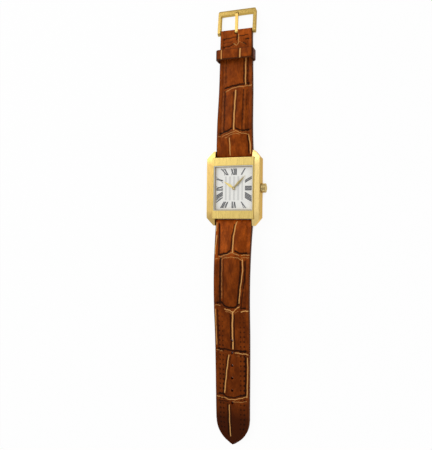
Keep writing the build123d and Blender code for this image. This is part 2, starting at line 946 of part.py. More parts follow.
# Motion work: minute wheel on its stud, hour wheel round the cannon pinion
with BuildPart() as minute_wheel:
    extrude(
        wheel_face(
            minute_place,
            cannon_level,
            minute_wheel_teeth,
            train_module,
            180 + minute_angle + 180 / minute_wheel_teeth,
        ),
        amount=wheel_thickness,
    )
    extrude(
        toothed_disc(
            minute_place,
            cannon_level + wheel_thickness,
            minute_pinion_teeth,
            motion_module,
            180 + minute_angle,
        ),
        amount=minute_pinion_height,
    )
    extrude(
        disc(minute_place, cannon_level, stud_radius + running_fit),
        amount=wheel_thickness + minute_pinion_height,
        mode=Mode.SUBTRACT,
    )

with BuildPart() as hour_wheel:
    extrude(
        wheel_face(
            centre_place,
            hour_level,
            hour_wheel_teeth,
            motion_module,
            minute_angle + 180 / hour_wheel_teeth,
        ),
        amount=wheel_thickness,
    )
    extrude(
        disc(centre_place, hour_level, hour_pipe_radius),
        amount=hour_hand_level + hand_thickness - hour_level,
    )
    extrude(
        disc(centre_place, hour_level, cannon_radius + running_fit),
        amount=minute_hand_level - hour_level,
        mode=Mode.SUBTRACT,
    )


def add_hand(level, length, angle, hole_radius):
    """A leaf-shaped hand with a ridge along its middle, in the part that is being built."""
    turn = math.radians(angle)
    lying = Plane(origin=(0, 0, level), x_dir=(math.cos(turn), math.sin(turn), 0), z_dir=(0, 0, 1))
    with BuildSketch(lying, mode=Mode.PRIVATE) as leaf:
        with BuildLine():
            Polyline(
                (0, -hand_half_width * hand_root_share),
                (length * hand_belly_share, -hand_half_width),
                (length, 0),
                (length * hand_belly_share, hand_half_width),
                (0, hand_half_width * hand_root_share),
                close=True,
            )
        make_face()
    extrude(leaf.sketch, amount=hand_thickness)
    across = (-math.sin(turn), math.cos(turn), 0)
    end_on = Plane(origin=(0, 0, level), x_dir=across, z_dir=(math.cos(turn), math.sin(turn), 0))
    with BuildSketch(end_on, mode=Mode.PRIVATE) as ridge:
        with BuildLine():
            Polyline(
                (-hand_half_width, 0),
                (hand_half_width, 0),
                (hand_half_width, hand_thickness / 4),
                (0, hand_thickness),
                (-hand_half_width, hand_thickness / 4),
                close=True,
            )
        make_face()
    extrude(ridge.sketch, amount=length, both=True, mode=Mode.INTERSECT)
    extrude(disc(centre_place, level, hand_boss_radius), amount=hand_thickness)
    extrude(
        pin_face(centre_place, level, hole_radius, around=True),
        amount=hand_thickness,
        mode=Mode.SUBTRACT,
    )


with BuildPart() as hour_hand:
    add_hand(hour_hand_level, hour_hand_length, hour_hand_angle, hour_pipe_radius)

with BuildPart() as minute_hand:
    add_hand(minute_hand_level, minute_hand_length, minute_hand_angle, cannon_radius)

# Setting work: the stem, the clutch pinion that turns with it and the lever in its groove
with BuildPart() as clutch_pinion:
    extrude(
        facing_disc(
            pinion_start, 0, stem_height, clutch_radius, stem_neck_radius + running_fit
        ),
        amount=pinion_length,
    )
    with BuildSketch(Plane(origin=(pinion_start, 0, stem_height), z_dir=(1, 0, 0))):
        with PolarLocations(clutch_radius, clutch_flute_count):
            RegularPolygon(clutch_flute_radius, 4)
    extrude(amount=pinion_length, mode=Mode.SUBTRACT)

crown_cap = crown_base + crown_recess_depth
with BuildPart() as winding_stem:
    for start, end, radius in (
        (stem_pilot_start, stem_neck_start, stem_pilot_radius),
        (stem_neck_start, stem_shoulder, stem_neck_radius),
        (stem_shoulder, stem_groove_start, stem_radius),
        (stem_groove_start, stem_groove_start + stem_groove_width, stem_groove_radius),
        (stem_groove_start + stem_groove_width, crown_cap, stem_radius),
    ):
        extrude(facing_pin(start, 0, stem_height, radius), amount=end - start)

with BuildPart() as crown:
    with BuildSketch(Plane(origin=(0, 0, stem_height), x_dir=(1, 0, 0), z_dir=(0, -1, 0))):
        with BuildLine():
            Polyline(
                (crown_cap, 0),
                (crown_cap, crown_recess_radius),
                (crown_base, crown_recess_radius),
                (crown_base, crown_radius),
                (crown_base + crown_length, crown_radius),
                (crown_base + crown_length, crown_dome_radius),
            )
            RadiusArc(
                (crown_base + crown_length, crown_dome_radius),
                (crown_base + crown_length + crown_dome, 0),
                (crown_dome_radius**2 + crown_dome**2) / (2 * crown_dome),
            )
            Line((crown_base + crown_length + crown_dome, 0), (crown_cap, 0))
        make_face()
    revolve(axis=stem_axis)
    with BuildSketch(Plane(origin=(crown_base, 0, stem_height), z_dir=(1, 0, 0))):
        with PolarLocations(
            crown_radius + crown_flute_radius - crown_flute_sink * 2, crown_flute_count
        ):
            RegularPolygon(crown_flute_radius, 4)
    extrude(amount=crown_length, mode=Mode.SUBTRACT)

with BuildPart() as crown_gasket:
    with BuildSketch(Plane(origin=(crown_cap, 0, stem_height), z_dir=(1, 0, 0))):
        RegularPolygon(crown_recess_radius - running_fit, round_sides)
        RegularPolygon(
            tube_radius + running_fit, round_sides, major_radius=False, mode=Mode.SUBTRACT
        )
    extrude(amount=-crown_gasket_length)

lever_level = plate_level - lever_drop - lever_thickness
with BuildPart() as setting_lever:
    extrude(
        hull_face(lever_level, [(lever_pivot, lever_boss), (lever_pin, lever_nose)]),
        amount=lever_thickness,
    )
    extrude(pin_face(lever_pin, lever_level, lever_pin_radius), amount=stem_height - lever_level)
    extrude(
        disc(lever_pivot, lever_level, lever_pivot_radius + running_fit),
        amount=lever_thickness,
        mode=Mode.SUBTRACT,
    )

# Small screws of the movement, all with the same head
screw_seats = [(place, bridge_level, plate_screw_radius) for place in bridge_screws]
screw_seats += [(place, movement_level, plate_screw_radius) for place in clip_screws]
screw_seats += [(board_screw, bridge_level, plate_screw_radius)]
screw_seats += [(place, bridge_top, plate_screw_radius) for place in (core_left, core_right)]
screw_seats += [(lever_pivot, lever_level - seat_gap, lever_pivot_radius)]
with BuildPart() as movement_screws:
    for place, seat, radius in screw_seats:
        extrude(
            pin_face(place, seat - plate_screw_head_height, plate_screw_head_radius),
            amount=plate_screw_head_height,
        )
        extrude(pin_face(place, seat, radius), amount=plate_level + plate_screw_grip - seat)
        with BuildSketch(Plane.XY.offset(seat - plate_screw_head_height)):
            with Locations(place):
                Rectangle(2 * plate_screw_head_radius, plate_slot_width)
        extrude(amount=plate_slot_depth, mode=Mode.SUBTRACT)


def add_spring_bar(place, height, body_radius, body_half_length, tip_radius):
    """A spring bar along X with a thinner tip at each end, in the part that is being built."""
    body = facing_disc(0, place, height, body_radius)
    extrude(body, amount=body_half_length, both=True)
    tips = facing_pin(0, place, height, tip_radius)
    extrude(tips, amount=body_half_length + bar_tip_length, both=True)


with BuildPart() as upper_spring_bar:
    add_spring_bar(
        lug_bar_place, lug_bar_height, bar_radius, lug_gap / 2 - seat_gap, bar_tip_radius
    )

with BuildPart() as lower_spring_bar:
    add_spring_bar(
        -lug_bar_place, lug_bar_height, bar_radius, lug_gap / 2 - seat_gap, bar_tip_radius
    )


def share_between(shares, along, column):
    """One column of a table of shares, read between its rows."""
    for before, after in zip(shares, shares[1:]):
        if along <= after[0]:
            part_way = (along - before[0]) / (after[0] - before[0])
            return before[column] + (after[column] - before[column]) * part_way
    return shares[-1][column]


def strap_stations(shares, start, way, reach, low, high, edge, end_width):
    """For each station: a plane across the leather, half its width, its edge and its crown."""
    middles = [
        (start + way * reach * along, low + (high - low) * lift) for along, lift, _, _ in shares
    ]
    path = Plane.YZ * Spline(*middles)
    stations = []
    for number in range(station_count + 1):
        place = path @ (number / station_count)
        heading = path % (number / station_count) * way
        along = (place.Y - start) / (way * reach)
        half_width = (lug_width + (end_width - lug_width) * along) / 2
        thickness = edge + (2 * fold_radius - edge) * share_between(shares, along, 2)
        rise = crown_rise * share_between(shares, along, 3)
        plane = Plane(origin=place, x_dir=(1, 0, 0), z_dir=-heading)
        stations.append((plane, half_width, thickness, rise))
    return stations


def strap_section(plane, half_width, thickness, rise):
    """Across the leather: flat below, a thin flat edge each side and padding in an arc between."""
    pad = half_width - flange_width
    with BuildSketch(plane, mode=Mode.PRIVATE) as section:
        with BuildLine():
            Polyline(
                (-pad, thickness / 2),
                (-half_width, thickness / 2),
                (-half_width, -thickness / 2),
                (half_width, -thickness / 2),
                (half_width, thickness / 2),
                (pad, thickness / 2),
            )
            ThreePointArc((pad, thickness / 2), (0, thickness / 2 + rise), (-pad, thickness / 2))
        make_face()
    return section.sketch


def lining_zone(stations):
    """The space under the leather that the lining fills, from the second station on."""
    tops = []
    lows = []
    for plane, _, thickness, _ in stations:
        top = plane.origin + plane.y_dir * (lining_thickness - thickness / 2)
        low = plane.origin - plane.y_dir * (thickness / 2 + overrun)
        tops.append((top.Y, top.Z))
        lows.append((low.Y, low.Z))
    with BuildPart(mode=Mode.PRIVATE) as zone:
        with BuildSketch(Plane.YZ):
            with BuildLine():
                Polyline(*tops, *lows[::-1], close=True)
            make_face()
        extrude(amount=lug_gap, both=True)
    return zone.part


# Long strap: it arches away from the case and comes down to a pointed, punched end
long_stations = strap_stations(
    long_strap_shares,
    -lug_bar_place,
    -1,
    long_reach,
    tip_height,
    crest_height,
    long_edge_thickness,
    long_end_width,
)
with BuildPart() as long_leather:
    loft(sections=[strap_section(*station) for station in long_stations], ruled=True)
    point_y = -lug_bar_place - long_reach
    shoulder_y = point_y + tip_taper
    nose = tip_nose_radius * math.sqrt(2) / 2
    with BuildSketch():
        with BuildLine():
            Polyline(
                (lug_gap / 2, shoulder_y),
                (lug_gap / 2, 0),
                (-lug_gap / 2, 0),
                (-lug_gap / 2, shoulder_y),
                (-long_end_width / 2, shoulder_y),
            )
            RadiusArc(
                (-long_end_width / 2, shoulder_y),
                (-nose, point_y + tip_nose_radius - nose),
                -2 * tip_taper,
            )
            ThreePointArc(
                (-nose, point_y + tip_nose_radius - nose),
                (0, point_y),
                (nose, point_y + tip_nose_radius - nose),
            )
            RadiusArc(
                (nose, point_y + tip_nose_radius - nose),
                (long_end_width / 2, shoulder_y),
                -2 * tip_taper,
            )
            Line((long_end_width / 2, shoulder_y), (lug_gap / 2, shoulder_y))
        make_face()
    extrude(amount=2 * crest_height, mode=Mode.INTERSECT)

long_zone = lining_zone(long_stations[1:])


def punch_holes():
    """The row of holes, through the part that is being built."""
    for hole in range(hole_count):
        place = (0, -lug_bar_place - hole_start - hole * hole_pitch)
        extrude(
            pin_face(place, 0, hole_radius, around=True, sides=round_sides),
            amount=bezel_top,
            mode=Mode.SUBTRACT,
        )


with BuildPart() as strap_long_lining:
    add(long_leather.part)
    add(long_zone, mode=Mode.INTERSECT)
    punch_holes()

with BuildPart() as strap_long:
    add(long_leather.part)
    add(long_zone, mode=Mode.SUBTRACT)
    punch_holes()
    extrude(
        facing_disc(-fold_width / 2, -lug_bar_place, lug_bar_height, fold_radius),
        amount=fold_width,
    )
    extrude(
        facing_disc(-lug_gap, -lug_bar_place, lug_bar_height, bar_radius + running_fit),
        amount=2 * lug_gap,
        mode=Mode.SUBTRACT,
    )

# Short strap: it runs down from the case, then level to the buckle that it folds round
short_stations = strap_stations(
    short_strap_shares,
    lug_bar_place,
    1,
    short_reach,
    strap_flat_height,
    arch_height,
    short_edge_thickness,
    short_end_width,
)
buckle_y = lug_bar_place + short_reach
with BuildPart() as short_leather:
    loft(sections=[strap_section(*station) for station in short_stations], ruled=True)

short_zone = lining_zone(short_stations[1:-1])
tongue_slot_width = tongue_width + 2 * tongue_slot_gap
with BuildPart() as strap_short_lining:
    add(short_leather.part)
    add(short_zone, mode=Mode.INTERSECT)
    with BuildSketch():
        with Locations((0, buckle_y - tongue_slot_reach)):
            SlotOverall(
                2 * tongue_slot_reach, tongue_slot_width, rotation=90, align=(Align.MIN, Align.CENTER)
            )
    extrude(amount=crest_height, mode=Mode.SUBTRACT)

with BuildPart() as strap_short:
    add(short_leather.part)
    add(short_zone, mode=Mode.SUBTRACT)
    extrude(
        facing_disc(-fold_width / 2, lug_bar_place, lug_bar_height, fold_radius),
        amount=fold_width,
    )
    extrude(
        facing_disc(-buckle_fold_width / 2, buckle_y, strap_flat_height, buckle_fold_radius),
        amount=buckle_fold_width,
    )
    extrude(
        facing_disc(-lug_gap, lug_bar_place, lug_bar_height, bar_radius + running_fit),
        amount=2 * lug_gap,
        mode=Mode.SUBTRACT,
    )
    extrude(
        facing_disc(-lug_gap, buckle_y, strap_flat_height, buckle_pin_radius + running_fit),
        amount=2 * lug_gap,
        mode=Mode.SUBTRACT,
    )
    with BuildSketch():
        with Locations((0, buckle_y - tongue_slot_reach)):
            SlotOverall(
                2 * tongue_slot_reach, tongue_slot_width, rotation=90, align=(Align.MIN, Align.CENTER)
            )
    extrude(amount=crest_height, mode=Mode.SUBTRACT)

# Keeper: a leather loop round the short strap
keeper_y = lug_bar_place + keeper_place
keeper_width_share = keeper_place / short_reach
keeper_strap_width = lug_width + (short_end_width - lug_width) * keeper_width_share
keeper_room_width = keeper_strap_width + keeper_side_play
keeper_crown = crown_rise * max(row[3] for row in short_strap_shares if row[0] > 0.5)
keeper_room_height = short_edge_thickness + keeper_crown + keeper_spare + 2 * keeper_gap
keeper_base = strap_flat_height - short_edge_thickness / 2 - keeper_gap
with BuildPart() as keeper:
    middle_height = keeper_base + keeper_room_height / 2
    with BuildSketch(Plane(origin=(0, keeper_y, middle_height), x_dir=(1, 0, 0), z_dir=(0, -1, 0))):
        RectangleRounded(
            keeper_room_width + 2 * keeper_wall,
            keeper_room_height + 2 * keeper_wall,
            keeper_outer_corner,
        )
        RectangleRounded(
            keeper_room_width, keeper_room_height, keeper_inner_corner, mode=Mode.SUBTRACT
        )
    extrude(amount=keeper_length / 2, both=True)

# Buckle: a bowed frame, tilted until its bar meets the surface, with a tongue in its notch
bar_middle = buckle_reach - buckle_bar_radius
bar_drop = strap_flat_height - buckle_bar_radius - buckle_rest
buckle_tilt = math.asin(bar_drop / bar_middle)
buckle_lean = (0, math.sin(buckle_tilt), math.cos(buckle_tilt))
buckle_plane = Plane(origin=(0, buckle_y, strap_flat_height), x_dir=(1, 0, 0), z_dir=buckle_lean)
buckle_side = Plane(
    origin=(0, buckle_y, strap_flat_height),
    x_dir=(0, math.cos(buckle_tilt), -math.sin(buckle_tilt)),
    z_dir=(1, 0, 0),
)
buckle_width = buckle_inner_width + 2 * buckle_leg_width
bar_inner_edge = buckle_reach - buckle_bar_width
tongue_tip = bar_inner_edge + tongue_overlap
notch_floor = buckle_bar_radius - tongue_notch_depth
with BuildPart() as buckle_frame:
    with BuildSketch(buckle_plane):
        with Locations((0, buckle_reach)):
            RectangleRounded(
                buckle_width,
                2 * (buckle_reach + buckle_eye_radius),
                buckle_outer_corner,
                align=(Align.CENTER, Align.MAX),
            )
        with Locations((0, bar_inner_edge)):
            RectangleRounded(
                buckle_inner_width,
                2 * (buckle_reach + buckle_eye_radius),
                buckle_inner_corner,
                align=(Align.CENTER, Align.MAX),
                mode=Mode.SUBTRACT,
            )
        with Locations((0, -buckle_eye_radius)):
            Rectangle(
                2 * buckle_width,
                4 * buckle_reach,
                align=(Align.CENTER, Align.MAX),
                mode=Mode.SUBTRACT,
            )
    extrude(amount=buckle_eye_radius, both=True)
    with BuildSketch(buckle_side):
        Circle(buckle_eye_radius)
        with Locations((bar_middle, 0)):
            Circle(buckle_bar_radius)
        make_hull()
    extrude(amount=buckle_width, both=True, mode=Mode.INTERSECT)
    with BuildSketch(buckle_side):
        RegularPolygon(buckle_pin_tip_radius + seat_gap, pin_sides, major_radius=False)
    extrude(
        amount=buckle_inner_width / 2 + bar_tip_length + seat_gap, both=True, mode=Mode.SUBTRACT
    )
    with BuildSketch(buckle_plane.offset(notch_floor)):
        with Locations((0, bar_inner_edge)):
            Rectangle(
                tongue_slot_width, 2 * (tongue_overlap + tongue_slot_gap), align=Align.CENTER
            )
    extrude(amount=buckle_eye_radius, mode=Mode.SUBTRACT)

with BuildPart() as buckle_spring_bar:
    add_spring_bar(
        buckle_y,
        strap_flat_height,
        buckle_pin_radius,
        buckle_inner_width / 2 - seat_gap,
        buckle_pin_tip_radius,
    )

with BuildPart() as buckle_tongue:
    with BuildSketch(buckle_side):
        with BuildLine():
            Polyline(
                (0, tongue_loop_radius),
                (0, tongue_loop_radius - tongue_thickness),
                (tongue_tip, notch_floor + seat_gap),
                (tongue_tip, notch_floor + seat_gap + tongue_thickness / 2),
                (tongue_tip - tongue_thickness, notch_floor + seat_gap + tongue_thickness),
                close=True,
            )
        make_face()
        Circle(tongue_loop_radius)
        Circle(buckle_pin_radius + running_fit, mode=Mode.SUBTRACT)
    extrude(amount=tongue_width / 2, both=True)

pieces = {
    "case_middle": case_middle,
    "bezel": bezel,
    "crystal": crystal,
    "crystal_gasket": crystal_gasket,
    "case_back": case_back,
    "case_back_gasket": case_back_gasket,
    "case_back_screws": case_back_screws,
    "crown_tube": crown_tube,
    "casing_ring": casing_ring,
    "dial": dial,
    "main_plate": main_plate,
    "train_bridge": train_bridge,
    "battery": battery,
    "battery_clip": battery_clip,
    "circuit_board": circuit_board,
    "resonator": resonator,
    "drive_coil": drive_coil,
    "stator": stator,
    "rotor": rotor,
    "first_wheel": first_wheel,
    "third_wheel": third_wheel,
    "centre_wheel": centre_wheel,
    "minute_wheel": minute_wheel,
    "hour_wheel": hour_wheel,
    "hour_hand": hour_hand,
    "minute_hand": minute_hand,
    "clutch_pinion": clutch_pinion,
    "winding_stem": winding_stem,
    "crown": crown,
    "crown_gasket": crown_gasket,
    "setting_lever": setting_lever,
    "movement_screws": movement_screws,
    "upper_spring_bar": upper_spring_bar,
    "lower_spring_bar": lower_spring_bar,
    "strap_long": strap_long,
    "strap_long_lining": strap_long_lining,
    "strap_short": strap_short,
    "strap_short_lining": strap_short_lining,
    "keeper": keeper,
    "buckle_frame": buckle_frame,
    "buckle_spring_bar": buckle_spring_bar,
    "buckle_tongue": buckle_tongue,
}
for name, piece in pieces.items():
    piece.part.label = name
    export_step(piece.part, f"parts/{name}.step")
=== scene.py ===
import math
from collections import namedtuple

import bmesh
import bpy
import numpy
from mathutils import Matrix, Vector


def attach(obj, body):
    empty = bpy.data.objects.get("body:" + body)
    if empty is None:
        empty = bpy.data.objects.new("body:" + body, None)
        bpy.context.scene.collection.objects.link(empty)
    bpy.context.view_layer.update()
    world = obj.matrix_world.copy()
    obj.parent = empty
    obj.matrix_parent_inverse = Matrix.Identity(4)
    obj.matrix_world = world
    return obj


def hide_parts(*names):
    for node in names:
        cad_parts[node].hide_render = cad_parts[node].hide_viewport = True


# The dressed wristwatch: satin and polished gold, a silvered dial with Roman numerals,
# padded leather with an embossed scale pattern, stitching, and a soft white studio.
# Sizes are in millimetres until a mesh is made, and then in metres.

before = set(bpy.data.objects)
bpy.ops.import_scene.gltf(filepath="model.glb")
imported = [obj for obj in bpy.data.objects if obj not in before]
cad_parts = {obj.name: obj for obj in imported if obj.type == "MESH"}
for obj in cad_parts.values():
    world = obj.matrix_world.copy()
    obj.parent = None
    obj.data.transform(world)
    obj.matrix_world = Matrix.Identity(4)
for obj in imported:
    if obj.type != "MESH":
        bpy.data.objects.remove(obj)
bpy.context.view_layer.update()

MILLIMETRE = 0.001

# Sizes of the model that the dressing follows. The flange is the flat border beside the
# padding, and the tip narrows over its taper to a blunt nose.
LUG_BAR = 15.9
LUG_BAR_HEIGHT = 2.9
LUG_WIDTH = 17.7
FOLD_RADIUS = 1.35
FLANGE_WIDTH = 1.9
LONG_REACH = 104.4
LONG_END_WIDTH = 16.0
TIP_TAPER = 11.5
TIP_NOSE = 1.0
HOLE_START = 55.0
HOLE_PITCH = 5.94
HOLE_COUNT = 6
HOLE_RADIUS = 0.75
SHORT_REACH = 58.2
SHORT_END_WIDTH = 15.4
BUCKLE_Y = LUG_BAR + SHORT_REACH
BUCKLE_BAR_HEIGHT = 2.15
BUCKLE_FOLD_RADIUS = 1.15
DIAL_TOP = 4.45

# Share of the reach, height of the leather's middle, thickness of the edge, rise of the padding
LONG_ROWS = (
    (0.000, 2.90, 2.59, 0.04),
    (0.031, 3.45, 2.48, 0.42),
    (0.077, 4.35, 2.22, 0.96),
    (0.153, 5.50, 2.12, 1.20),
    (0.249, 6.15, 2.10, 1.20),
    (0.355, 5.85, 2.08, 1.10),
    (0.513, 3.96, 2.02, 0.90),
    (0.661, 2.91, 1.98, 0.62),
    (0.814, 2.16, 1.94, 0.46),
    (0.920, 1.41, 1.92, 0.36),
    (1.000, 0.98, 1.90, 0.26),
)
SHORT_ROWS = (
    (0.000, 2.90, 2.62, 0.04),
    (0.055, 3.24, 2.53, 0.42),
    (0.137, 3.49, 2.31, 0.96),
    (0.258, 3.45, 2.22, 1.10),
    (0.400, 2.78, 2.13, 0.86),
    (0.500, 2.28, 2.10, 0.54),
    (0.560, 2.15, 2.10, 0.41),
    (0.780, 2.15, 2.10, 0.40),
    (0.930, 2.15, 2.14, 0.24),
    (1.000, 2.15, 2.15, 0.04),
)


# A Mix node names the sockets of all its kinds alike, so those for colours go by number
MIX_FACTOR = 0
MIX_COLOURS = (6, 7)
MIX_RESULT = 2


class Channel:
    """A value that varies over a surface, with Python's own arithmetic."""

    def __init__(self, socket):
        self.socket = socket
        self.tree = socket.id_data

    def math(self, operation, *values, clamp=False):
        node = self.tree.nodes.new("ShaderNodeMath")
        node.operation = operation
        node.use_clamp = clamp
        for entry, value in zip(node.inputs, values):
            join(entry, value)
        return Channel(node.outputs[0])

    def __add__(self, other):
        return self.math("ADD", self, other)

    def __rsub__(self, other):
        return self.math("SUBTRACT", other, self)

    def __mul__(self, other):
        return self.math("MULTIPLY", self, other)

    def __pow__(self, other):
        return self.math("POWER", self, other)

    __radd__ = __add__
    __rmul__ = __mul__

    def clamped(self):
        return self.math("ADD", self, 0.0, clamp=True)

    def steps(self, low, high):
        """0 below low, 1 above high, and a smooth way between."""
        node = self.tree.nodes.new("ShaderNodeMapRange")
        node.interpolation_type = "SMOOTHSTEP"
        for name, value in (("Value", self), ("From Min", low), ("From Max", high)):
            join(node.inputs[name], value)
        return Channel(node.outputs["Result"])

    def away(self, low, high):
        """0 near the middle of the piece, and 1 away from it on both sides."""
        return self.math("ABSOLUTE", self).steps(low, high)


def join(entry, value):
    if isinstance(value, Channel):
        entry.id_data.links.new(value.socket, entry)
    else:
        entry.default_value = value


class Finish:
    """A material with one surface shader."""

    def __init__(self, name, **fixed):
        self.data = bpy.data.materials.new(name)
        self.data.use_nodes = True
        self.tree = self.data.node_tree
        self.shader = self.tree.nodes["Principled BSDF"]
        for entry, value in fixed.items():
            join(self.shader.inputs[entry.replace("_", " ")], value)

    def node(self, kind, output, settings=(), **values):
        """Any other node: its settings, its inputs by name, and the output that is wanted."""
        node = self.tree.nodes.new(kind)
        for key, value in dict(settings).items():
            setattr(node, key, value)
        for entry, value in values.items():
            join(node.inputs[entry.replace("_", " ")], value)
        return Channel(node.outputs[output])

    def place(self, scale=(1, 1, 1)):
        """Where a point is on the piece, in millimetres times a scale."""
        spot = self.node("ShaderNodeTexCoord", "Object")
        stretch = [share / MILLIMETRE for share in scale]
        return self.node("ShaderNodeMapping", "Vector", Vector=spot, Scale=stretch)

    def position(self, axis):
        """One coordinate of the point, in millimetres."""
        return self.node("ShaderNodeSeparateXYZ", axis, Vector=self.place())

    def openness(self, reach):
        """1 in the open, and towards 0 where other surfaces are within a reach, in metres."""
        return self.node("ShaderNodeAmbientOcclusion", "AO", Distance=reach)

    def noise(self, scale, size, detail=3.0, roughness=0.55):
        return self.node(
            "ShaderNodeTexNoise",
            "Fac",
            Vector=self.place(scale),
            Scale=1.0 / size,
            Detail=detail,
            Roughness=roughness,
        )

    def cells(self, size):
        """The distance to the edge of an irregular cell."""
        return self.node(
            "ShaderNodeTexVoronoi",
            "Distance",
            settings={"feature": "DISTANCE_TO_EDGE"},
            Vector=self.place(),
            Scale=1.0 / size,
        )

    def drawn(self, name):
        """A value that the mesh carries at each of its points."""
        return self.node("ShaderNodeAttribute", "Fac", settings={"attribute_name": name})

    def mixed(self, factor, first, second):
        """From the first colour to the second as the factor goes from 0 to 1."""
        node = self.tree.nodes.new("ShaderNodeMix")
        node.data_type = "RGBA"
        join(node.inputs[MIX_FACTOR], factor)
        for number, colour in zip(MIX_COLOURS, (first, second)):
            join(node.inputs[number], colour if isinstance(colour, Channel) else (*colour, 1.0))
        return Channel(node.outputs[MIX_RESULT])

    def paint(self, colour, roughness):
        join(self.shader.inputs["Base Color"], colour)
        join(self.shader.inputs["Roughness"], roughness)

    def relief(self, height, depth, strength):
        """Bumps of a real depth, in millimetres."""
        normal = self.node(
            "ShaderNodeBump",
            "Normal",
            Height=height,
            Distance=depth * MILLIMETRE,
            Strength=strength,
        )
        join(self.shader.inputs["Normal"], normal)


def linear(red, green, blue):
    """A colour given as it looks on a screen, from 0 to 255."""
    return tuple(
        (c / 255 / 12.92) if c <= 10 else ((c / 255 + 0.055) / 1.055) ** 2.4
        for c in (red, green, blue)
    )


def toned(colour, share):
    """A darker or lighter tone of a colour."""
    return [min(1.0, c * share) for c in colour]


# Colour of the painted highlight on the rails' crown side
PAINTED_SIDE_HIGHLIGHT = linear(255, 226, 150)
# How near other surfaces must be for the gold's painted shade to show
CREVICE_SHADE_REACH = 0.0006


def make_gold(name, colour, streaks, roughness, painted_highlight=0.0, metallic=1.0):
    """Gold plating; streaks stretch its brushing along one direction."""
    edge = [c * 0.7 + 0.3 for c in colour]
    finish = Finish(name, Metallic=metallic, Specular_Tint=(*edge, 1.0))
    lines = finish.noise(streaks, 0.16, 3.0, 0.7).steps(0.30, 0.70)
    cloud = finish.noise((1, 1, 1), 2.4, 2.0)
    tone = (lines * 0.7 + cloud * 0.3).clamped()
    plated = finish.mixed(tone, toned(colour, 0.88), toned(colour, 1.12))
    if painted_highlight:
        # Painted highlight: the rail grows paler towards the crown's side and stops at the outer
        # wall
        spot = finish.position("X")
        side = spot.steps(-4.0, 10.0) * (1 - spot.steps(12.2, 12.7) * 1.1) * painted_highlight
        plated = finish.mixed(side, plated, PAINTED_SIDE_HIGHLIGHT)
    # Painted shade: the gold turns dark where other surfaces are close, in grooves and under lips
    openness = finish.openness(CREVICE_SHADE_REACH).steps(0.35, 0.85)
    finish.paint(
        finish.mixed(openness, toned(colour, 0.32), plated),
        lines * 0.14 + roughness,
    )
    finish.relief(lines, 0.004, 0.5)
    return finish.data


rail_gold = make_gold("rail_gold", linear(219, 184, 110), (1, 0.03, 1), 0.26, 0.75)
bezel_gold = make_gold("bezel_gold", linear(226, 198, 117), (1, 0.03, 1), 0.26)
crown_gold = make_gold("crown_gold", linear(210, 186, 128), (0.05, 1, 1), 0.2)
buckle_gold = make_gold("buckle_gold", linear(191, 160, 88), (0.4, 0.4, 0.4), 0.2)
tongue_gold = make_gold("tongue_gold", linear(196, 162, 90), (1, 0.05, 1), 0.22)
hand_gold = make_gold("hand_gold", linear(246, 214, 100), (1, 1, 1), 0.36, metallic=0.6)


def make_metal(name, colour, roughness, size=0.08):
    """Bare metal with a fine even grain."""
    finish = Finish(name, Metallic=1.0)
    grain = finish.noise((1, 1, 1), size, 2.0, 0.6)
    finish.paint(
        finish.mixed(grain, toned(colour, 0.85), toned(colour, 1.12)), grain * 0.16 + roughness
    )
    finish.relief(grain, 0.004, 0.4)
    return finish.data


steel = make_metal("turned_steel", (0.56, 0.56, 0.57), 0.22)
back_steel = make_metal("brushed_back", (0.60, 0.60, 0.59), 0.30, 0.12)
cell_steel = make_metal("cell_steel", (0.66, 0.66, 0.66), 0.18, 0.4)
core_steel = make_metal("core_steel", (0.35, 0.35, 0.36), 0.36)
plate_brass = make_metal("plate_brass", (0.70, 0.55, 0.30), 0.34, 0.15)
wheel_brass = make_metal("wheel_brass", (0.78, 0.58, 0.26), 0.24)
copper = make_metal("wire_copper", (0.66, 0.26, 0.10), 0.3, 0.1)


def make_dull(name, colour, roughness, size, depth):
    """Rubber, moulded plastic, board or ink: a fine even grain."""
    finish = Finish(name)
    grain = finish.noise((1, 1, 1), size, 3.0, 0.6)
    finish.paint(
        finish.mixed(grain, toned(colour, 0.82), toned(colour, 1.15)), grain * 0.14 + roughness
    )
    finish.relief(grain, depth, 0.5)
    return finish.data


rubber = make_dull("gasket_rubber", (0.035, 0.035, 0.036), 0.55, 0.12, 0.01)
ring_plastic = make_dull("moulded_ring", (0.74, 0.74, 0.71), 0.42, 0.2, 0.006)
gear_plastic = make_dull("moulded_gear", (0.80, 0.77, 0.66), 0.38, 0.1, 0.004)
board = make_dull("solder_mask", (0.02, 0.13, 0.05), 0.30, 0.3, 0.006)
ink = make_dull("numeral_ink", (0.022, 0.022, 0.026), 0.35, 0.15, 0.002)

crystal_glass = Finish(
    "crystal_glass", Base_Color=(1, 1, 1, 1), Roughness=0.02, IOR=1.5, Alpha=0.07
).data


def make_dial():
    """Silvering: nearly white, with soft upright stripes in the middle field."""
    finish = Finish("silvered_dial", Specular_IOR_Level=0.5)
    spot = finish.position("X")
    high = finish.position("Y")
    field = (1 - spot.away(4.2, 4.6)) * (1 - high.away(5.4, 5.8))
    stripe = (spot.math("SINE", spot * 3.1 + 1.2) * 0.5 + 0.5) ** 1.3
    grain = finish.noise((1, 0.06, 1), 0.12, 2.0, 0.6)
    shade = (stripe * field * 0.55 + grain * 0.22).clamped()
    silver = finish.mixed(shade, linear(255, 254, 248), linear(182, 182, 179))
    # Painted shadow and painted reflection of the gold bezel along the edges of the dial's window
    bezel_shade_and_reflection = ((spot.away(8.55, 9.05) + high.away(9.6, 10.1)) * 0.75).clamped()
    finish.paint(finish.mixed(bezel_shade_and_reflection, silver, linear(128, 108, 62)), grain * 0.1 + 0.4)
    finish.relief(grain, 0.003, 0.4)
    return finish.data


dial_silver = make_dial()

LEATHER = linear(139, 61, 10)
GLOW_LEATHER = linear(190, 90, 22)
DARK_LEATHER = linear(66, 25, 5)
# Colour of the painted shade in the creases
CREASE_SHADE = linear(30, 10, 3)
TAN_SEAM = linear(222, 166, 96)


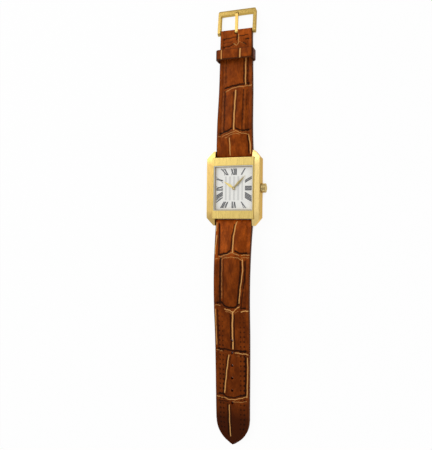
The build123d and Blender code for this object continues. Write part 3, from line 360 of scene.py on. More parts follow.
def make_leather():
    """Glazed leather whose scale pattern, tan seams and shading the mesh carries."""
    finish = Finish("glazed_leather", Specular_IOR_Level=0.04)
    seam = finish.drawn("seam")
    cloud = finish.noise((1, 0.45, 1), 2.6, 4.0, 0.62)
    fine = finish.noise((1, 1, 1), 0.32, 3.0, 0.6)
    streak = finish.noise((1.3, 0.45, 1), 0.9, 4.0, 0.7)
    pores = finish.cells(0.42).steps(0.0, 0.16)
    wrinkles = finish.cells(1.3).steps(0.0, 0.10)
    glaze = finish.mixed(cloud.steps(0.36, 0.68), LEATHER, GLOW_LEATHER)
    body = finish.mixed(streak.steps(0.26, 0.6) * 0.86 + 0.08, DARK_LEATHER, glaze)
    warm = finish.mixed(0.5, glaze, body)
    # Darker along the strap by its darkening mark: on the long half this is painted shade, light
    # by the case and dark towards the tip; on the short half and the keeper it is a darker tone of
    # the leather
    darkened = finish.mixed(finish.drawn("age"), warm, toned(DARK_LEATHER, 0.86))
    # Painted shade where the mesh's edge mark is high: in the creases, the channel and the hollows
    crease_shaded = finish.mixed(finish.drawn("edge").steps(0.12, 0.8) * 0.93, darkened, CREASE_SHADE)
    worn = (seam.steps(0.34, 0.8) * (streak * 0.8 + 0.6)).clamped()
    finish.paint(finish.mixed(worn, crease_shaded, TAN_SEAM), fine * 0.16 + seam * 0.2 + 0.32)
    finish.relief(pores * 0.22 + wrinkles * 0.30 + fine * 0.30 + cloud * 0.5, 0.10, 0.75)
    return finish.data


def make_lining():
    """Plain pale leather on the underside of the strap."""
    finish = Finish("lining_leather", Specular_IOR_Level=0.3)
    grain = finish.cells(0.6)
    cloud = finish.noise((1, 1, 1), 4.0)
    finish.paint(
        finish.mixed(cloud, linear(150, 98, 58), linear(178, 124, 78)), grain * 0.2 + 0.55
    )
    finish.relief(grain.steps(0.0, 0.2) + cloud, 0.05, 0.6)
    return finish.data


def make_edge():
    """Dark paint on the cut edges of the leather."""
    finish = Finish("painted_edge", Specular_IOR_Level=0.05)
    grain = finish.noise((1, 0.3, 1), 0.5)
    finish.paint(finish.mixed(grain, linear(66, 32, 14), linear(102, 56, 27)), grain * 0.2 + 0.44)
    finish.relief(grain, 0.05, 0.7)
    return finish.data


leather = make_leather()
lining_leather = make_lining()
edge_paint = make_edge()

# The carried-over solids keep their shape and get their finish
NODE_FINISH = {
    "case_middle": rail_gold,
    "bezel": bezel_gold,
    "crystal": crystal_glass,
    "crystal_gasket": ring_plastic,
    "case_back": back_steel,
    "case_back_gasket": rubber,
    "case_back_screws": steel,
    "crown_tube": steel,
    "casing_ring": ring_plastic,
    "dial": dial_silver,
    "main_plate": plate_brass,
    "train_bridge": plate_brass,
    "battery": cell_steel,
    "battery_clip": steel,
    "circuit_board": board,
    "resonator": cell_steel,
    "drive_coil": copper,
    "stator": core_steel,
    "movement_screws": steel,
    "upper_spring_bar": steel,
    "lower_spring_bar": steel,
    "buckle_spring_bar": steel,
    "centre_wheel": wheel_brass,
    "third_wheel": wheel_brass,
    "minute_wheel": wheel_brass,
    "hour_wheel": wheel_brass,
    "first_wheel": gear_plastic,
    "rotor": gear_plastic,
    "clutch_pinion": steel,
    "winding_stem": steel,
    "setting_lever": steel,
    "crown": crown_gold,
    "crown_gasket": rubber,
    "hour_hand": hand_gold,
    "minute_hand": hand_gold,
    "buckle_frame": buckle_gold,
    "buckle_tongue": tongue_gold,
}
for node, finish in NODE_FINISH.items():
    mesh = bpy.data.objects[node].data
    mesh.materials.clear()
    mesh.materials.append(finish)


def add_mesh(name, points, faces, finishes, body, smooth=True):
    """A new piece from points in millimetres, riding on a body."""
    mesh = bpy.data.meshes.new(name)
    mesh.from_pydata([Vector(p) * MILLIMETRE for p in points], [], faces)
    mesh.update()
    for finish in finishes:
        mesh.materials.append(finish)
    for face in mesh.polygons:
        face.use_smooth = smooth
    piece = bpy.data.objects.new(name, mesh)
    bpy.context.scene.collection.objects.link(piece)
    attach(piece, body)
    return piece


# Numerals: the strokes of a letter run outwards between an inner and an outer rectangle
INNER_HALF = (5.45, 6.3)
OUTER_HALF = (8.5, 9.15)
INK_HEIGHT = 0.03
THICK = 0.66
THIN = 0.22
SERIF = 0.16
SERIF_HALF = 0.28
LETTER_LENGTH = 2.8
LETTER_GAP = 0.08
LETTER_INSET = 0.18
THIN_INSET = 0.1
LETTER_WIDTH = {"I": 0.66, "V": 1.25, "X": 1.35}
NUMERALS = ("XII", "I", "II", "III", "IIII", "V", "VI", "VII", "VIII", "IX", "X", "XI")


def on_rectangle(direction, half):
    """Where a ray from the middle meets a rectangle."""
    reach = min(
        half[axis] / abs(direction[axis]) for axis in (0, 1) if abs(direction[axis]) > 1e-6
    )
    return (direction[0] * reach, direction[1] * reach)


def letter_strokes(letter, left):
    """Each stroke: start across, start out, end across, end out, thickness."""
    right = left + LETTER_WIDTH[letter]
    if letter == "I":
        middle = left + LETTER_WIDTH[letter] / 2
        strokes = [(middle, 0.0, middle, 1.0, THICK)]
        feet = [(middle, 0.0), (middle, 1.0)]
    elif letter == "V":
        low = left + LETTER_WIDTH[letter] * 0.52
        ends = (left + LETTER_INSET, right - THIN_INSET)
        strokes = [(low, 0.0, ends[0], 1.0, THICK), (low, 0.0, ends[1], 1.0, THIN)]
        feet = [(end, 1.0) for end in ends]
    else:
        ends = (left + LETTER_INSET, right - LETTER_INSET)
        strokes = [(ends[1], 0.0, ends[0], 1.0, THICK), (ends[0], 0.0, ends[1], 1.0, THIN)]
        feet = [(end, row) for end in ends for row in (0.0, 1.0)]
    for across, out in feet:
        strokes.append((across - SERIF_HALF, out, across + SERIF_HALF, out, SERIF))
    return strokes


def stroke_corners(stroke):
    """The four corners of a stroke: how far across, and out as a share of its length."""
    *ends, thickness = stroke
    start, end = tuple(ends[:2]), tuple(ends[2:])
    level = start[1] == end[1]
    corners = []
    for (across, out), side in ((start, -1), (start, 1), (end, 1), (end, -1)):
        if level:
            out += side * thickness / 2 / LETTER_LENGTH
        else:
            across += side * thickness / 2
        corners.append((across, out))
    return corners


def add_numerals():
    points = []
    faces = []
    for hour, text in enumerate(NUMERALS):
        turn = math.radians(30 * hour)
        direction = (math.sin(turn), math.cos(turn))
        inner = on_rectangle(direction, INNER_HALF)
        outer = on_rectangle(direction, OUTER_HALF)
        if abs(outer[0]) > OUTER_HALF[0] - 0.01:
            along = (0.0, -math.copysign(1.0, direction[0]))
        else:
            along = (math.copysign(1.0, direction[1]), 0.0)
        left = -(sum(LETTER_WIDTH[c] for c in text) + LETTER_GAP * (len(text) - 1)) / 2
        for letter in text:
            for stroke in letter_strokes(letter, left):
                corners = [
                    [inner[i] + (outer[i] - inner[i]) * out + along[i] * across for i in (0, 1)]
                    for across, out in stroke_corners(stroke)
                ]
                base = len(points)
                points += [(x, y, DIAL_TOP) for x, y in corners]
                points += [(x, y, DIAL_TOP + INK_HEIGHT) for x, y in corners]
                faces.append(tuple(base + 4 + i for i in range(4)))
                faces += [
                    (base + i, base + (i + 1) % 4, base + 4 + (i + 1) % 4, base + 4 + i)
                    for i in range(4)
                ]
            left += LETTER_WIDTH[letter] + LETTER_GAP
    piece = add_mesh("numerals", points, faces, [ink], "case", smooth=False)
    shape = bmesh.new()
    shape.from_mesh(piece.data)
    bmesh.ops.recalc_face_normals(shape, faces=shape.faces)
    shape.to_mesh(piece.data)
    shape.free()


add_numerals()


# The scale pattern: runs of points across and along the leather in millimetres, with the
# width of each line and its strength. Tan lines are worn seams, dark ones creases, pressed in and
# painted with shade.
LONG_TAN = (
    (((1.7, -15.6), (1.0, -18.0), (0.6, -22.7), (0.5, -26.5), (0.6, -29.8)), 0.40, 1.0),
    (((-8.1, -16.2), (-8.3, -20.2)), 0.34, 0.9),
    (((-7.8, -22.2), (-8.2, -27.0), (-8.3, -30.8)), 0.36, 0.95),
    (((-6.4, -32.0), (-5.4, -32.1), (-2.6, -31.2), (0.5, -30.2)), 0.30, 0.75),
    (((0.5, -30.2), (2.3, -31.0), (3.6, -31.5)), 0.28, 0.75),
    (((-4.6, -33.3), (-3.0, -32.6), (0.4, -32.2), (3.2, -32.6), (5.0, -33.4)), 0.25, 0.75),
    (((4.6, -31.2), (8.6, -31.0)), 0.28, 0.8),
    (((4.6, -32.4), (8.6, -32.2)), 0.25, 0.75),
    (((-6.6, -33.2), (-5.0, -32.4), (-2.2, -32.0)), 0.22, 0.6),
    (((-8.7, -33.2), (-6.9, -33.1)), 0.26, 0.8),
    (((-4.5, -33.4), (-4.4, -39.0), (-4.3, -46.6), (-4.4, -51.0)), 0.27, 0.66),
    (((5.3, -33.2), (5.5, -38.7), (4.6, -46.0), (4.2, -50.0), (4.0, -53.0)), 0.33, 0.95),
    (((-8.5, -54.6), (-5.2, -54.4)), 0.30, 0.7),
    (((-3.0, -55.9), (-0.6, -56.3), (1.0, -57.2)), 0.34, 0.85),
    (((4.1, -54.5), (2.4, -55.8), (1.0, -57.2)), 0.34, 0.85),
    (((-2.6, -56.9), (-0.4, -57.2), (0.5, -58.0)), 0.25, 0.7),
    (((4.9, -56.8), (8.3, -56.4)), 0.40, 0.95),
    (((3.6, -56.6), (2.0, -57.6)), 0.24, 0.65),
    (((1.0, -57.0), (0.7, -61.3), (0.5, -66.3), (0.7, -74.6)), 0.46, 1.0),
    (((-7.7, -56.4), (-7.7, -65.0), (-7.5, -73.4)), 0.34, 0.75),
    (((-7.6, -76.0), (-4.6, -76.1)), 0.30, 0.7),
    (((-4.2, -76.6), (-1.8, -76.8)), 0.26, 0.5),
    (((1.6, -76.4), (4.6, -76.7), (7.6, -77.0)), 0.36, 0.85),
    (((2.2, -77.9), (6.8, -78.2)), 0.24, 0.6),
    (((-1.4, -77.7), (-2.0, -81.4), (-2.5, -84.7), (-3.0, -89.4), (-3.7, -96.0)), 0.40, 0.9),
    (((7.4, -78.4), (7.5, -85.0), (7.1, -97.2)), 0.34, 0.8),
    (
        ((-7.9, -98.1), (-3.4, -98.3), (-1.2, -98.9), (2.0, -98.5), (4.5, -97.7), (7.2, -96.9)),
        0.32,
        0.8,
    ),
    (((0.2, -99.7), (3.6, -99.7), (7.0, -99.2)), 0.26, 0.7),
    (((-7.4, -99.6), (-4.0, -99.4)), 0.24, 0.45),
    (((-1.4, -101.4), (-1.4, -106.3), (-1.3, -110.9), (-0.9, -116.4)), 0.34, 0.85),
)
LONG_DARK = (
    (((0.7, -17.2), (-0.2, -22.7), (-0.3, -28.6)), 0.30, 0.75),
    (((2.0, -17.4), (1.4, -22.7), (1.4, -28.6)), 0.22, 0.45),
    (((-6.9, -17.0), (-6.3, -24.0), (-6.3, -31.0)), 0.42, 0.7),
    (((-6.4, -31.2), (-2.4, -30.6), (-0.6, -29.3)), 0.34, 1.0),
    (((1.6, -29.3), (3.4, -30.4), (8.6, -30.3)), 0.32, 1.0),
    (((-5.3, -32.6), (-5.3, -45.0), (-5.2, -53.4)), 0.42, 0.85),
    (((-3.6, -33.4), (-3.6, -45.0), (-3.5, -53.6)), 0.22, 0.5),
    (((4.4, -34.0), (4.5, -40.0), (3.6, -48.0), (3.2, -54.0)), 0.34, 0.8),
    (((6.4, -34.0), (6.4, -42.0), (5.5, -49.0), (4.8, -55.6)), 0.26, 0.6),
    (((-4.4, -53.0), (-3.2, -54.4), (-0.6, -55.2), (2.4, -54.8), (3.7, -53.2)), 0.34, 1.0),
    (((-8.5, -53.6), (-5.4, -53.4)), 0.26, 0.9),
    (((4.8, -55.4), (8.3, -55.4)), 0.24, 0.8),
    (((-0.2, -58.4), (-0.3, -66.0), (-0.2, -74.4)), 0.30, 0.85),
    (((1.6, -58.4), (1.4, -66.0), (1.5, -74.4)), 0.28, 0.7),
    (((-6.8, -57.0), (-6.8, -74.0)), 0.24, 0.5),
    (((-7.9, -75.2), (-2.2, -75.1), (0.6, -75.7), (1.6, -75.4), (7.9, -75.7)), 0.32, 1.0),
    (((-2.2, -78.0), (-3.0, -85.0), (-4.5, -96.2)), 0.28, 0.6),
    (((-0.6, -78.4), (-1.4, -85.0), (-2.4, -92.0), (-2.6, -96.4)), 0.26, 0.5),
    (((6.5, -78.6), (6.6, -85.0), (6.3, -97.0)), 0.26, 0.7),
    (
        ((-7.9, -97.0), (-4.6, -96.5), (-3.0, -97.6), (0.6, -97.9), (4.0, -96.8), (7.4, -95.8)),
        0.28,
        0.9,
    ),
    (((-7.6, -100.0), (-2.0, -99.9)), 0.22, 0.7),
    (((-2.2, -101.0), (-2.1, -108.0), (-1.9, -115.6)), 0.30, 0.7),
    (((-0.7, -102.0), (-0.6, -108.0), (-0.4, -115.6)), 0.24, 0.55),
)
SHORT_TAN = (
    (((-2.0, 15.6), (-2.0, 20.7), (-2.1, 23.6)), 0.36, 0.9),
    (((7.9, 16.2), (7.7, 20.7), (7.0, 24.6)), 0.36, 0.95),
    (
        (
            (-5.9, 24.3), (-3.0, 25.5), (-0.4, 26.2), (1.0, 26.8),
            (2.4, 25.9), (4.7, 25.4), (6.9, 25.0),
        ),
        0.28,
        0.75,
    ),
    (((-4.2, 23.6), (-1.6, 25.0), (0.9, 25.6), (2.6, 25.0)), 0.24, 0.75),
    (((-7.8, 25.6), (-5.6, 25.2), (-3.6, 26.3), (-1.0, 27.1)), 0.2, 0.6),
    (((2.6, 26.9), (4.6, 26.2), (7.6, 26.6)), 0.2, 0.6),
    (((-6.4, 22.9), (-4.4, 23.8), (-3.0, 23.2)), 0.2, 0.5),
    (((-8.0, 24.4), (-6.6, 24.6)), 0.28, 0.7),
    (((0.0, 27.3), (0.0, 32.4), (0.1, 40.2), (0.25, 46.2)), 0.44, 1.0),
    (((-5.9, 26.0), (-5.9, 36.0), (-5.8, 46.0)), 0.26, 0.52),
    (((4.8, 27.0), (4.8, 36.0), (4.7, 45.6)), 0.24, 0.5),
    (((-4.7, 45.6), (-2.4, 46.8), (0.5, 47.6), (4.0, 47.7), (7.9, 48.2)), 0.40, 0.7),
    (((4.8, 48.6), (4.8, 54.0), (4.9, 60.0), (4.9, 62.0)), 0.38, 0.9),
    (((-5.4, 49.0), (-5.3, 60.0)), 0.22, 0.5),
    (((-1.0, 68.3), (0.0, 67.5), (1.0, 67.9), (1.5, 69.0)), 0.28, 0.8),
    (((1.5, 69.0), (2.8, 68.4), (4.4, 68.0)), 0.24, 0.6),
    (((-1.0, 68.3), (-0.3, 68.9), (0.6, 68.8)), 0.24, 0.55),
    (((1.2, 69.2), (1.2, 72.6)), 0.26, 0.85),
    (((5.0, 69.2), (7.4, 69.6)), 0.22, 0.5),
)
SHORT_DARK = (
    (((-2.7, 16.4), (-2.8, 23.4)), 0.24, 0.5),
    (((7.1, 16.4), (6.9, 21.0), (6.3, 25.0)), 0.26, 0.6),
    (((-7.6, 25.6), (-3.0, 26.9), (-0.9, 27.9)), 0.32, 1.0),
    (((0.9, 27.9), (2.6, 27.0), (5.0, 26.7), (7.9, 27.4)), 0.32, 1.0),
    (((-0.8, 28.4), (-0.75, 45.4)), 0.26, 0.6),
    (((0.8, 28.4), (0.95, 45.4)), 0.24, 0.5),
    (((-4.9, 27.0), (-5.0, 46.0)), 0.34, 0.6),
    (((3.9, 27.4), (3.9, 46.4)), 0.30, 0.55),
    (((5.6, 27.6), (5.6, 46.4)), 0.22, 0.4),
    (((-5.1, 47.3), (-2.5, 48.1), (0.5, 48.5), (3.6, 48.9), (6.4, 49.2)), 0.34, 1.0),
    (((-4.8, 50.0), (-4.7, 61.0)), 0.28, 0.5),
    (((4.0, 49.8), (4.0, 61.0)), 0.30, 0.7),
    (((5.7, 49.8), (5.8, 61.0)), 0.24, 0.5),
    (((-6.9, 70.7), (-3.3, 71.0), (0.4, 71.5), (5.4, 71.9)), 0.26, 0.66),
    (((-7.2, 67.0), (-3.3, 67.2), (-0.7, 68.2)), 0.28, 0.66),
    (((-6.0, 69.0), (-1.6, 69.3)), 0.26, 0.4),
    (((4.8, 69.9), (7.4, 70.2)), 0.24, 0.8),
    (((0.5, 70.2), (0.5, 73.2)), 0.26, 0.9),
    (((3.6, 68.6), (5.0, 67.4)), 0.26, 0.7),
)

# Stitches: two rows a side, placed as they lie across a half width of STITCH_SCALE
STITCH_ROWS = (4.2, 5.75)
STITCH_SCALE = 8.2
STITCH_WIDTH = 0.42
STITCH_PITCH = 2.3

# How far the lines spread, and how deep the pattern is pressed in
TAN_SPREAD = 0.8
DARK_SPREAD = 1.15
HOLLOW_SPREAD = 4.0
CHANNEL_WIDTH = 0.34
HOLLOW_DEPTH = 0.09
TAN_DEPTH = 0.06
DARK_DEPTH = 0.20
CHANNEL_DEPTH = 0.13
STITCH_DEPTH = 0.09

# Sections of the strap: points on the top, in each corner and underneath, the step between
# sections, and the closer ones round a fold and at the tip. The skin ends just short of both.
TOP_COUNT = 132
SIDE_COUNT = 5
BOTTOM_COUNT = 14
STATION_STEP = 0.22
FOLD_STEPS = 9
FOLD_BLEND = 3.0
FOLD_CLOSE = 0.004
TIP_RUN = 2.0
TIP_STEPS = 13
TIP_CLOSE = 0.01
EDGE_RADIUS = 0.35
LEAST_HALF = 0.02
DARKENING_STATIONS = (0.0, 0.12, 0.2, 0.5, 0.8, 0.88, 1.0)

# The way is -1 for the half that runs down the picture and 1 for the other. The end fold is
# the radius round the buckle's bar, or 0 at a free end, and the darkening levels along the leather
# are at DARKENING_STATIONS.
StrapHalf = namedtuple(
    "StrapHalf",
    "name body nodes way reach end_width end_fold rows tan_lines dark_lines ages",
)


def line_shares(across, along, runs, spread=1.0):
    """How strongly a set of lines marks each point, from 0 to their strength."""
    marks = numpy.zeros_like(across)
    for run, width, strength in runs:
        for start, end in zip(run, run[1:]):
            step = (end[0] - start[0], end[1] - start[1])
            length = step[0] ** 2 + step[1] ** 2
            share = ((across - start[0]) * step[0] + (along - start[1]) * step[1]) / length
            share = numpy.clip(share, 0.0, 1.0)
            far = numpy.hypot(
                across - start[0] - share * step[0], along - start[1] - share * step[1]
            )
            mark = strength * numpy.exp(-((far / (width * spread)) ** 2))
            marks = numpy.maximum(marks, mark)
    return marks


def row_values(table, shares):
    """Thickness of the edge and rise of the padding."""
    return [numpy.interp(shares, table[:, 0], table[:, column]) for column in (2, 3)]


def smooth_line(table, shares):
    """The heights of the leather's middle on a smooth curve through the rows."""
    knots = table[:, 0]
    heights = table[:, 1]
    slopes = numpy.gradient(heights, knots)
    index = numpy.clip(numpy.searchsorted(knots, shares, side="right") - 1, 0, len(knots) - 2)
    gap = knots[index + 1] - knots[index]
    t = (shares - knots[index]) / gap
    return (
        (2 * t**3 - 3 * t**2 + 1) * heights[index]
        + (t**3 - 2 * t**2 + t) * gap * slopes[index]
        + (-2 * t**3 + 3 * t**2) * heights[index + 1]
        + (t**3 - t**2) * gap * slopes[index + 1]
    )


def stitch_share(share, short):
    """How clearly the double rows of stitches show along the leather."""
    if short:
        return 0.25 * float(numpy.interp(share, (0.1, 0.3, 0.7, 0.8), (0.0, 1.0, 1.0, 0.0)))
    return float(numpy.interp(share, (0.1, 0.34, 0.5, 0.93, 0.96), (0.0, 0.35, 1.0, 1.0, 0.0)))


def strap_stations(half):
    """Distances from the lug bar at which the leather's sections are drawn."""
    turns = [math.pi / 2 * i / FOLD_STEPS for i in range(FOLD_STEPS)]
    runs = [FOLD_CLOSE - FOLD_RADIUS * math.cos(turn) for turn in turns]
    if half.end_fold:
        runs += list(numpy.arange(0.0, half.reach, STATION_STEP))
        runs += [half.reach + half.end_fold * math.sin(turn) for turn in turns]
        runs.append(half.reach + half.end_fold - FOLD_CLOSE)
    else:
        turns = [math.pi / 2 * i / TIP_STEPS for i in range(1, TIP_STEPS)]
        runs += list(numpy.arange(0.0, half.reach - TIP_RUN, STATION_STEP))
        runs += [half.reach - TIP_RUN * math.cos(turn) ** 2 for turn in turns]
        runs.append(half.reach - TIP_CLOSE)
    return numpy.array(runs)


def outline_halves(half, shares):
    """Half the leather's width at each station, drawn in to a rounded point at a free end."""
    halves = (LUG_WIDTH + (half.end_width - LUG_WIDTH) * numpy.clip(shares, 0, 1)) / 2
    if half.end_fold:
        return halves
    full = half.end_width / 2
    radius = (full**2 + TIP_TAPER**2) / (2 * full)
    for i, gap in enumerate(half.reach * (1 - shares)):
        if gap < TIP_TAPER:
            out = max(gap, TIP_NOSE)
            arc = full - radius + math.sqrt(radius**2 - (TIP_TAPER - out) ** 2)
            halves[i] = max(arc * math.sqrt(max(gap, 0.0) / out), LEAST_HALF)
    return halves


def strap_sections(half, runs):
    """Height, slope, thickness, padding and half width of the leather at each station."""
    table = numpy.array(half.rows)
    shares = runs / half.reach
    clipped = numpy.clip(shares, 0.0, 1.0)
    thickness, rise = row_values(table, clipped)
    height = smooth_line(table, clipped)
    slope = numpy.gradient(height, numpy.maximum.accumulate(runs + numpy.arange(len(runs)) * 1e-9))
    folds = [(FOLD_RADIUS, -runs)]
    if half.end_fold:
        folds.append((half.end_fold, runs - half.reach))
    for radius, past in folds:
        for i, beyond in enumerate(past):
            if beyond > 0:
                thickness[i] = 2 * math.sqrt(max(radius**2 - beyond**2, 0.0001))
                rise[i] = slope[i] = 0.0
            elif beyond > -FOLD_BLEND:
                full = 2 * radius
                thickness[i] = full + (thickness[i] - full) * (-beyond / FOLD_BLEND)
    return height, slope, thickness, rise, outline_halves(half, shares)


def worked_top(half, run, width, pad, across):
    """The pattern across the top at one station: its depth, how tan and how dark it is."""
    y = half.way * (LUG_BAR + run)
    wander = 0.05 * math.sin(run * 1.1) + 0.02 * math.sin(run * 4.1)
    ripple = 0.10 * numpy.sin(across * 1.9 + half.way) + 0.06 * numpy.sin(across * 5.3)
    tan = line_shares(across + wander, y + ripple, half.tan_lines, TAN_SPREAD)
    dark = line_shares(across + wander, y + ripple, half.dark_lines, DARK_SPREAD)
    hollow = line_shares(across, y, half.dark_lines, HOLLOW_SPREAD)
    aside = numpy.abs(across)
    stitched = sum(
        numpy.exp(-(((aside - row * width / STITCH_SCALE) / STITCH_WIDTH) ** 2))
        for row in STITCH_ROWS
    )
    beat = 0.5 + 0.5 * math.cos(2 * math.pi * run / STITCH_PITCH)
    stitched = stitched * beat**2 * stitch_share(run / half.reach, bool(half.end_fold))
    channel = numpy.exp(-(((aside - pad - 0.05) / CHANNEL_WIDTH) ** 2))
    channel *= numpy.clip(run / 2.0, 0.0, 1.0) * numpy.clip((half.reach - run) / 3.0, 0.0, 1.0)
    flange = numpy.clip((aside - pad) / 0.5, 0.0, 1.0)
    carved = numpy.clip(1 - flange * 0.75, 0.0, 1.0)
    depth = (HOLLOW_DEPTH * hollow + TAN_DEPTH * tan + DARK_DEPTH * dark) * carved
    depth += CHANNEL_DEPTH * channel + STITCH_DEPTH * stitched
    # Painted shade: darker in the creases, in the channel beside the padding and in soft hollows
    # towards the creases, and a little on the flat border; the stitches are drawn dark too
    shade = dark * (carved * 0.7 + 0.3) + 0.26 * channel + 0.05 * flange + 0.8 * stitched
    shade += 0.22 * (1 - dark) * hollow
    return depth, tan * (1 - 0.5 * stitched), numpy.clip(shade, 0, 1)


def corner(x, z, radius, start, first, last):
    """Points on a quarter turn clockwise from a start in degrees, where 0 is upwards."""
    turns = [math.radians(start) + math.pi / 2 * k / SIDE_COUNT for k in range(first, last)]
    return [(x + radius * math.sin(turn), z + radius * math.cos(turn)) for turn in turns]


def edged_section(top, half_width, low, radius, bottom_count):
    """A section: its points on top, then soft edges and a flat underside, clockwise."""
    inner = half_width - radius
    section = list(top)
    section += corner(inner, top[-1][1] - radius, radius, 0, 1, SIDE_COUNT + 1)
    section += corner(inner, low + radius, radius, 90, 0, SIDE_COUNT + 1)
    section += [(inner * (1 - 2 * k / bottom_count), low) for k in range(1, bottom_count)]
    section += corner(-inner, low + radius, radius, 180, 0, SIDE_COUNT + 1)
    section += corner(-inner, top[0][1] - radius, radius, 270, 0, SIDE_COUNT)
    return section


def skin_faces(count, loop, closed):
    """Faces between neighbouring sections; a closed loop joins its last to its first."""
    faces = []
    for i in range(count if closed else count - 1):
        here = i * loop
        there = (i + 1) % count * loop
        for k in range(loop):
            after = (k + 1) % loop
            faces.append((here + k, here + after, there + after, there + k))
    return faces


def add_leather(name, points, faces, marks, body, top_count, loop, under):
    """A leather piece: glazed on top, lined where the section is under, painted between."""
    finishes = [leather, edge_paint, lining_leather]
    piece = add_mesh(name, points, faces, finishes, body)
    for index, face in enumerate(piece.data.polygons):
        k = index % loop
        is_top = len(face.vertices) > 4 or k < top_count - 1
        face.material_index = 0 if is_top else 2 if k in under else 1
    for label, values in marks.items():
        layer = piece.data.attributes.new(label, "FLOAT", "POINT")
        layer.data.foreach_set("value", numpy.array(values, dtype=numpy.float32))
    return piece


def add_strap_half(half):
    """One half of the strap as a closed skin: padded top, rounded edges, flat lining."""
    spread = numpy.sin(numpy.linspace(-math.pi / 2, math.pi / 2, TOP_COUNT))
    spread = (spread + numpy.linspace(-1, 1, TOP_COUNT)) / 2
    points = []
    marks = {"seam": [], "edge": [], "age": []}
    runs = strap_stations(half)
    for run, height, slope, thickness, rise, width in zip(runs, *strap_sections(half, runs)):
        pad = max(width - FLANGE_WIDTH, 0.2)
        half_thick = thickness / 2
        radius = min(EDGE_RADIUS, half_thick * 0.7, width * 0.4)
        across = spread * (width - radius)
        swell = rise * numpy.clip(1 - (across / pad) ** 2, 0.0, 1.0) ** 0.85
        depth, seam, shade = worked_top(half, run, width, pad, across)
        top = list(zip(across, half_thick + swell - depth))
        section = edged_section(top, width, -half_thick, radius, BOTTOM_COUNT)
        lean = math.atan(slope)
        y = half.way * (LUG_BAR + run)
        for x, up in section:
            points.append((x, y - half.way * math.sin(lean) * up, height + math.cos(lean) * up))
        extra = len(section) - TOP_COUNT
        marks["seam"] += [*seam] + [0.0] * extra
        marks["edge"] += [*shade] + [1.0] * extra
        marks["age"] += [numpy.interp(run / half.reach, DARKENING_STATIONS, half.ages)] * len(section)
    loop = len(section)
    faces = skin_faces(len(runs), loop, closed=False)
    faces.append(tuple(range(loop))[::-1])
    faces.append(tuple(range(len(points) - loop, len(points))))
    if half.way > 0:
        faces = [face[::-1] for face in faces]
    first_under = TOP_COUNT + 2 * SIDE_COUNT
    under = range(first_under, first_under + BOTTOM_COUNT)
    piece = add_leather(half.name, points, faces, marks, half.body, TOP_COUNT, loop, under)
    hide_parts(*half.nodes)
    return piece


# What is cut out of the leather: room for the two bars, the holes, and the tongue's slot,
# which reaches a little past the buckle's bar. The lengths go right through.
LUG_BAR_ROOM = 0.80
BUCKLE_BAR_ROOM = 0.70
BAR_CUT = 40.0
HOLE_CUT = 12.0
CUTTER_SIDES = 32
TONGUE_SLOT = (1.6, 4.3, 12.0)
TONGUE_SLOT_SHIFT = 0.9


def add_cylinder(shape, centre, axis, radius, length):
    """A closed round cutter in the mesh that is being built, in millimetres."""
    made = bmesh.ops.create_cone(
        shape,
        cap_ends=True,
        segments=CUTTER_SIDES,
        radius1=radius * MILLIMETRE,
        radius2=radius * MILLIMETRE,
        depth=length * MILLIMETRE,
    )
    turn = Vector((0, 0, 1)).rotation_difference(Vector(axis)).to_matrix()
    bmesh.ops.rotate(shape, cent=(0, 0, 0), matrix=turn, verts=made["verts"])
    bmesh.ops.translate(shape, vec=Vector(centre) * MILLIMETRE, verts=made["verts"])


def cut_away(piece, build_cutters):
    """Take some solids away from a piece, for good."""
    shape = bmesh.new()
    build_cutters(shape)
    mesh = bpy.data.meshes.new("cutter")
    shape.to_mesh(mesh)
    shape.free()
    cutter = bpy.data.objects.new("cutter", mesh)
    bpy.context.scene.collection.objects.link(cutter)
    change = piece.modifiers.new("cut", "BOOLEAN")
    change.operation = "DIFFERENCE"
    change.solver = "EXACT"
    change.object = cutter
    result = bpy.data.meshes.new_from_object(
        piece.evaluated_get(bpy.context.evaluated_depsgraph_get())
    )
    piece.modifiers.clear()
    piece.data = result
    bpy.data.objects.remove(cutter)


strap_long = add_strap_half(
    StrapHalf(
        name="padded_strap_long",
        body="long_half",
        nodes=("strap_long", "strap_long_lining"),
        way=-1,
        reach=LONG_REACH,
        end_width=LONG_END_WIDTH,
        end_fold=0.0,
        rows=LONG_ROWS,
        tan_lines=LONG_TAN,
        dark_lines=LONG_DARK,
        ages=(0.0, 0.1, 0.52, 0.6, 0.66, 0.98, 1.0),
    )
)


def long_cutters(shape):
    for hole in range(HOLE_COUNT):
        place = (0, -LUG_BAR - HOLE_START - hole * HOLE_PITCH, 4.0)
        add_cylinder(shape, place, (0, 0, 1), HOLE_RADIUS, HOLE_CUT)
    add_cylinder(shape, (0, -LUG_BAR, LUG_BAR_HEIGHT), (1, 0, 0), LUG_BAR_ROOM, BAR_CUT)


cut_away(strap_long, long_cutters)

strap_short = add_strap_half(
    StrapHalf(
        name="padded_strap_short",
        body="short_half",
        nodes=("strap_short", "strap_short_lining"),
        way=1,
        reach=SHORT_REACH,
        end_width=SHORT_END_WIDTH,
        end_fold=BUCKLE_FOLD_RADIUS,
        rows=SHORT_ROWS,
        tan_lines=SHORT_TAN,
        dark_lines=SHORT_DARK,
        ages=(0.3, 0.33, 0.36, 0.36, 0.3, 0.05, 0.0),
    )
)


def short_cutters(shape):
    add_cylinder(shape, (0, LUG_BAR, LUG_BAR_HEIGHT), (1, 0, 0), LUG_BAR_ROOM, BAR_CUT)
    add_cylinder(shape, (0, BUCKLE_Y, BUCKLE_BAR_HEIGHT), (1, 0, 0), BUCKLE_BAR_ROOM, BAR_CUT)
    slot = bmesh.ops.create_cube(shape, size=1.0)["verts"]
    bmesh.ops.scale(shape, vec=Vector(TONGUE_SLOT) * MILLIMETRE, verts=slot)
    place = Vector((0, BUCKLE_Y + TONGUE_SLOT_SHIFT, 0))
    bmesh.ops.translate(shape, vec=place * MILLIMETRE, verts=slot)


cut_away(strap_short, short_cutters)


